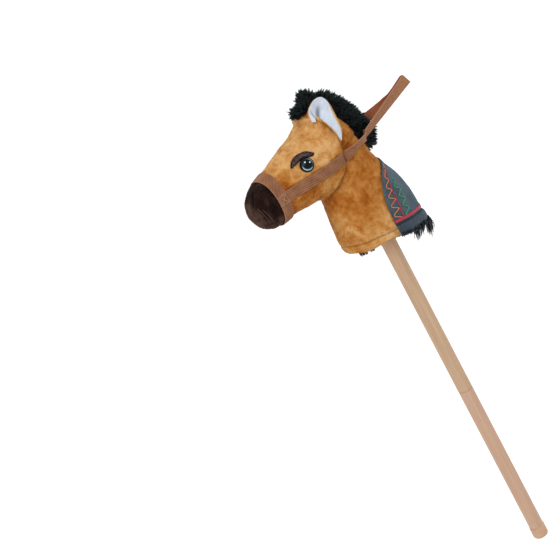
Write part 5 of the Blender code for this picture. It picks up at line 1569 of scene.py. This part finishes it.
def finish_node(name, material):
    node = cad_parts[name]
    node.data.materials.clear()
    node.data.materials.append(material)
    node.data.polygons.foreach_set("use_smooth", np.ones(len(node.data.polygons), bool))
    node.modifiers.new("soft_edges", "EDGE_SPLIT").split_angle = math.radians(35.0)


def add_stuffing(node, name):
    """Loose fibre in the form of the CAD solid, drawn in so that no cover shows it, with a lumpy skin."""
    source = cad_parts[node].data
    points = np.empty(len(source.vertices) * 3)
    source.vertices.foreach_get("co", points)
    source.calc_loop_triangles()
    tris = np.empty(len(source.loop_triangles) * 3, np.int32)
    source.loop_triangles.foreach_get("vertices", tris)
    points, faces = remeshed([(points.reshape(-1, 3), tris.reshape(-1, 3))], 0.0045)
    points = relaxed(points, faces, 2)
    normals = vertex_normals(points, [faces])
    points = points + normals * (0.0006 * ripple(points, 0.016, 81) - FIBRE_DRAWN_IN)[:, None]
    add_mesh(name, points, faces, FIBRE, nodes=(node,))


# What the scene is made with


def look(*stops):
    """Stops of a colour ramp, from places and sRGB colours."""
    return [(place, rgb(*colour)) for place, *colour in stops]


TAN_STOPS = look((0.26, 150, 78, 20), (0.40, 182, 106, 34), (0.54, 206, 142, 70), (0.68, 226, 176, 112),
                 (0.80, 236, 194, 136))
TAN_LOOK = (TAN_STOPS, 34.0, 0.25, rgb(255, 214, 150), (0.50, 1.13, 1.30))
# The head's slopes are painted light and shade: lighter towards its top, darker just behind the noseband. The
# neck's slope is painted light: lighter towards its lower edge.
PLUSH_HEAD = plush_finish("plush_head", *TAN_LOOK, mottle=0.7,
                          slopes=((2, 0.845, 0.890, -0.04, 0.11), (1, -0.165, -0.115, -0.14, 0.02)))
PLUSH_NECK = plush_finish("plush_neck", *TAN_LOOK, mottle=0.62, slopes=((2, 0.690, 0.790, 0.10, -0.04),))
# The muzzle's slopes are a painted sheen: lighter at its front tip and along its lower edge.
PLUSH_BROWN = plush_finish(
    "plush_brown", look((0.30, 26, 13, 11), (0.48, 48, 29, 25), (0.66, 84, 60, 50), (0.85, 112, 86, 74)),
    30.0, 0.30, rgb(190, 150, 130), mottle=1.0,
    slopes=((1, -0.2110, -0.1980, 0.40, -0.07), (2, 0.818, 0.842, 0.34, -0.04)))
PLUSH_DARK = plush_finish(
    "plush_dark", look((0.40, 24, 12, 12), (0.50, 44, 26, 26), (0.62, 86, 66, 66), (0.74, 122, 100, 100)),
    80.0, 0.25, rgb(160, 130, 120), hair_tone=0.30)
LINING_WHITE = plush_finish(
    "lining_white", look((0.30, 196, 208, 226), (0.50, 216, 226, 240), (0.70, 234, 240, 250)),
    60.0, 0.15, rgb(240, 245, 255), (0.26, 0.97, 1.10))
FUR_BLACK = fur_finish("fur_black", rgb(4, 4, 5), rgb(26, 30, 32), rgb(90, 150, 150))
# The fringe's near-black is partly its own dark colour and partly painted shade
FRINGE_BLACK = fur_finish("fringe_black", rgb(8, 10, 14), rgb(24, 34, 42), rgb(90, 130, 150))
WEBBING = webbing_finish()
CLOTH_BLUE = cloth_finish("blanket_blue", rgb(48, 62, 74), rgb(84, 104, 116), groove=(0.021, 0.0262))
CLOTH_HEM = cloth_finish("blanket_hem_blue", rgb(28, 40, 54), rgb(66, 82, 98))
RIBBON_RED = thread_finish("ribbon_crimson", rgb(150, 8, 40), rgb(222, 30, 72), 0.0009, 0.38)
BRAID_ORANGE = thread_finish("braid_orange", rgb(196, 96, 48), rgb(240, 158, 96), 0.0016)
BRAID_RED = thread_finish("braid_red", rgb(140, 16, 44), rgb(206, 44, 58), 0.0016)
BRAID_GREEN = thread_finish("braid_green", rgb(20, 116, 74), rgb(70, 184, 120), 0.0016)
THREAD_TAN = thread_finish("thread_tan", rgb(184, 142, 116), rgb(232, 198, 170), 0.0008)
THREAD_BROWN = thread_finish("thread_brown", rgb(70, 46, 36), rgb(124, 90, 72), 0.0008)
EYE_PAINT = eye_finish()
BEECH_UPPER = wood_finish("beech_upper", rgb(186, 148, 114), rgb(214, 180, 146), rgb(160, 118, 84))
BEECH_LOWER = wood_finish("beech_lower", rgb(192, 150, 120), rgb(218, 180, 152), rgb(166, 120, 92))
CAP_PLASTIC = plain_finish("foot_cap", rgb(204, 160, 128), rgb(220, 180, 148), 40.0, 0.5)
WASHER_PLASTIC = plain_finish("washer_plastic", rgb(206, 206, 204), rgb(224, 224, 222), 60.0, 0.4)
BOARD = plain_finish("board_grey", rgb(140, 126, 104), rgb(172, 156, 130), 120.0, 0.9, 0.4)
FIBRE = plain_finish("polyester_fibre", rgb(214, 214, 208), rgb(240, 240, 236), 160.0, 1.0, 0.6)

set_stage()
add_plush()
add_muzzle()
add_brows()
add_eyes()
for label, side in SIDES:
    add_ear_back(label, side)
    add_ear_lining(label, side)
add_mane()
add_forelock()
add_bridle()
add_reins()
add_blanket()
for name, finish in (
    ("pole_upper", BEECH_UPPER), ("pole_lower", BEECH_LOWER), ("pole_spigot", BEECH_LOWER),
    ("foot_cap", CAP_PLASTIC), ("pole_top_cap", WASHER_PLASTIC), ("neck_board", BOARD),
    ("eye_washer_left", WASHER_PLASTIC), ("eye_washer_right", WASHER_PLASTIC),
):
    finish_node(name, finish)
add_stuffing("neck_stuffing", "neck_fibre")
add_stuffing("head_stuffing", "head_fibre")
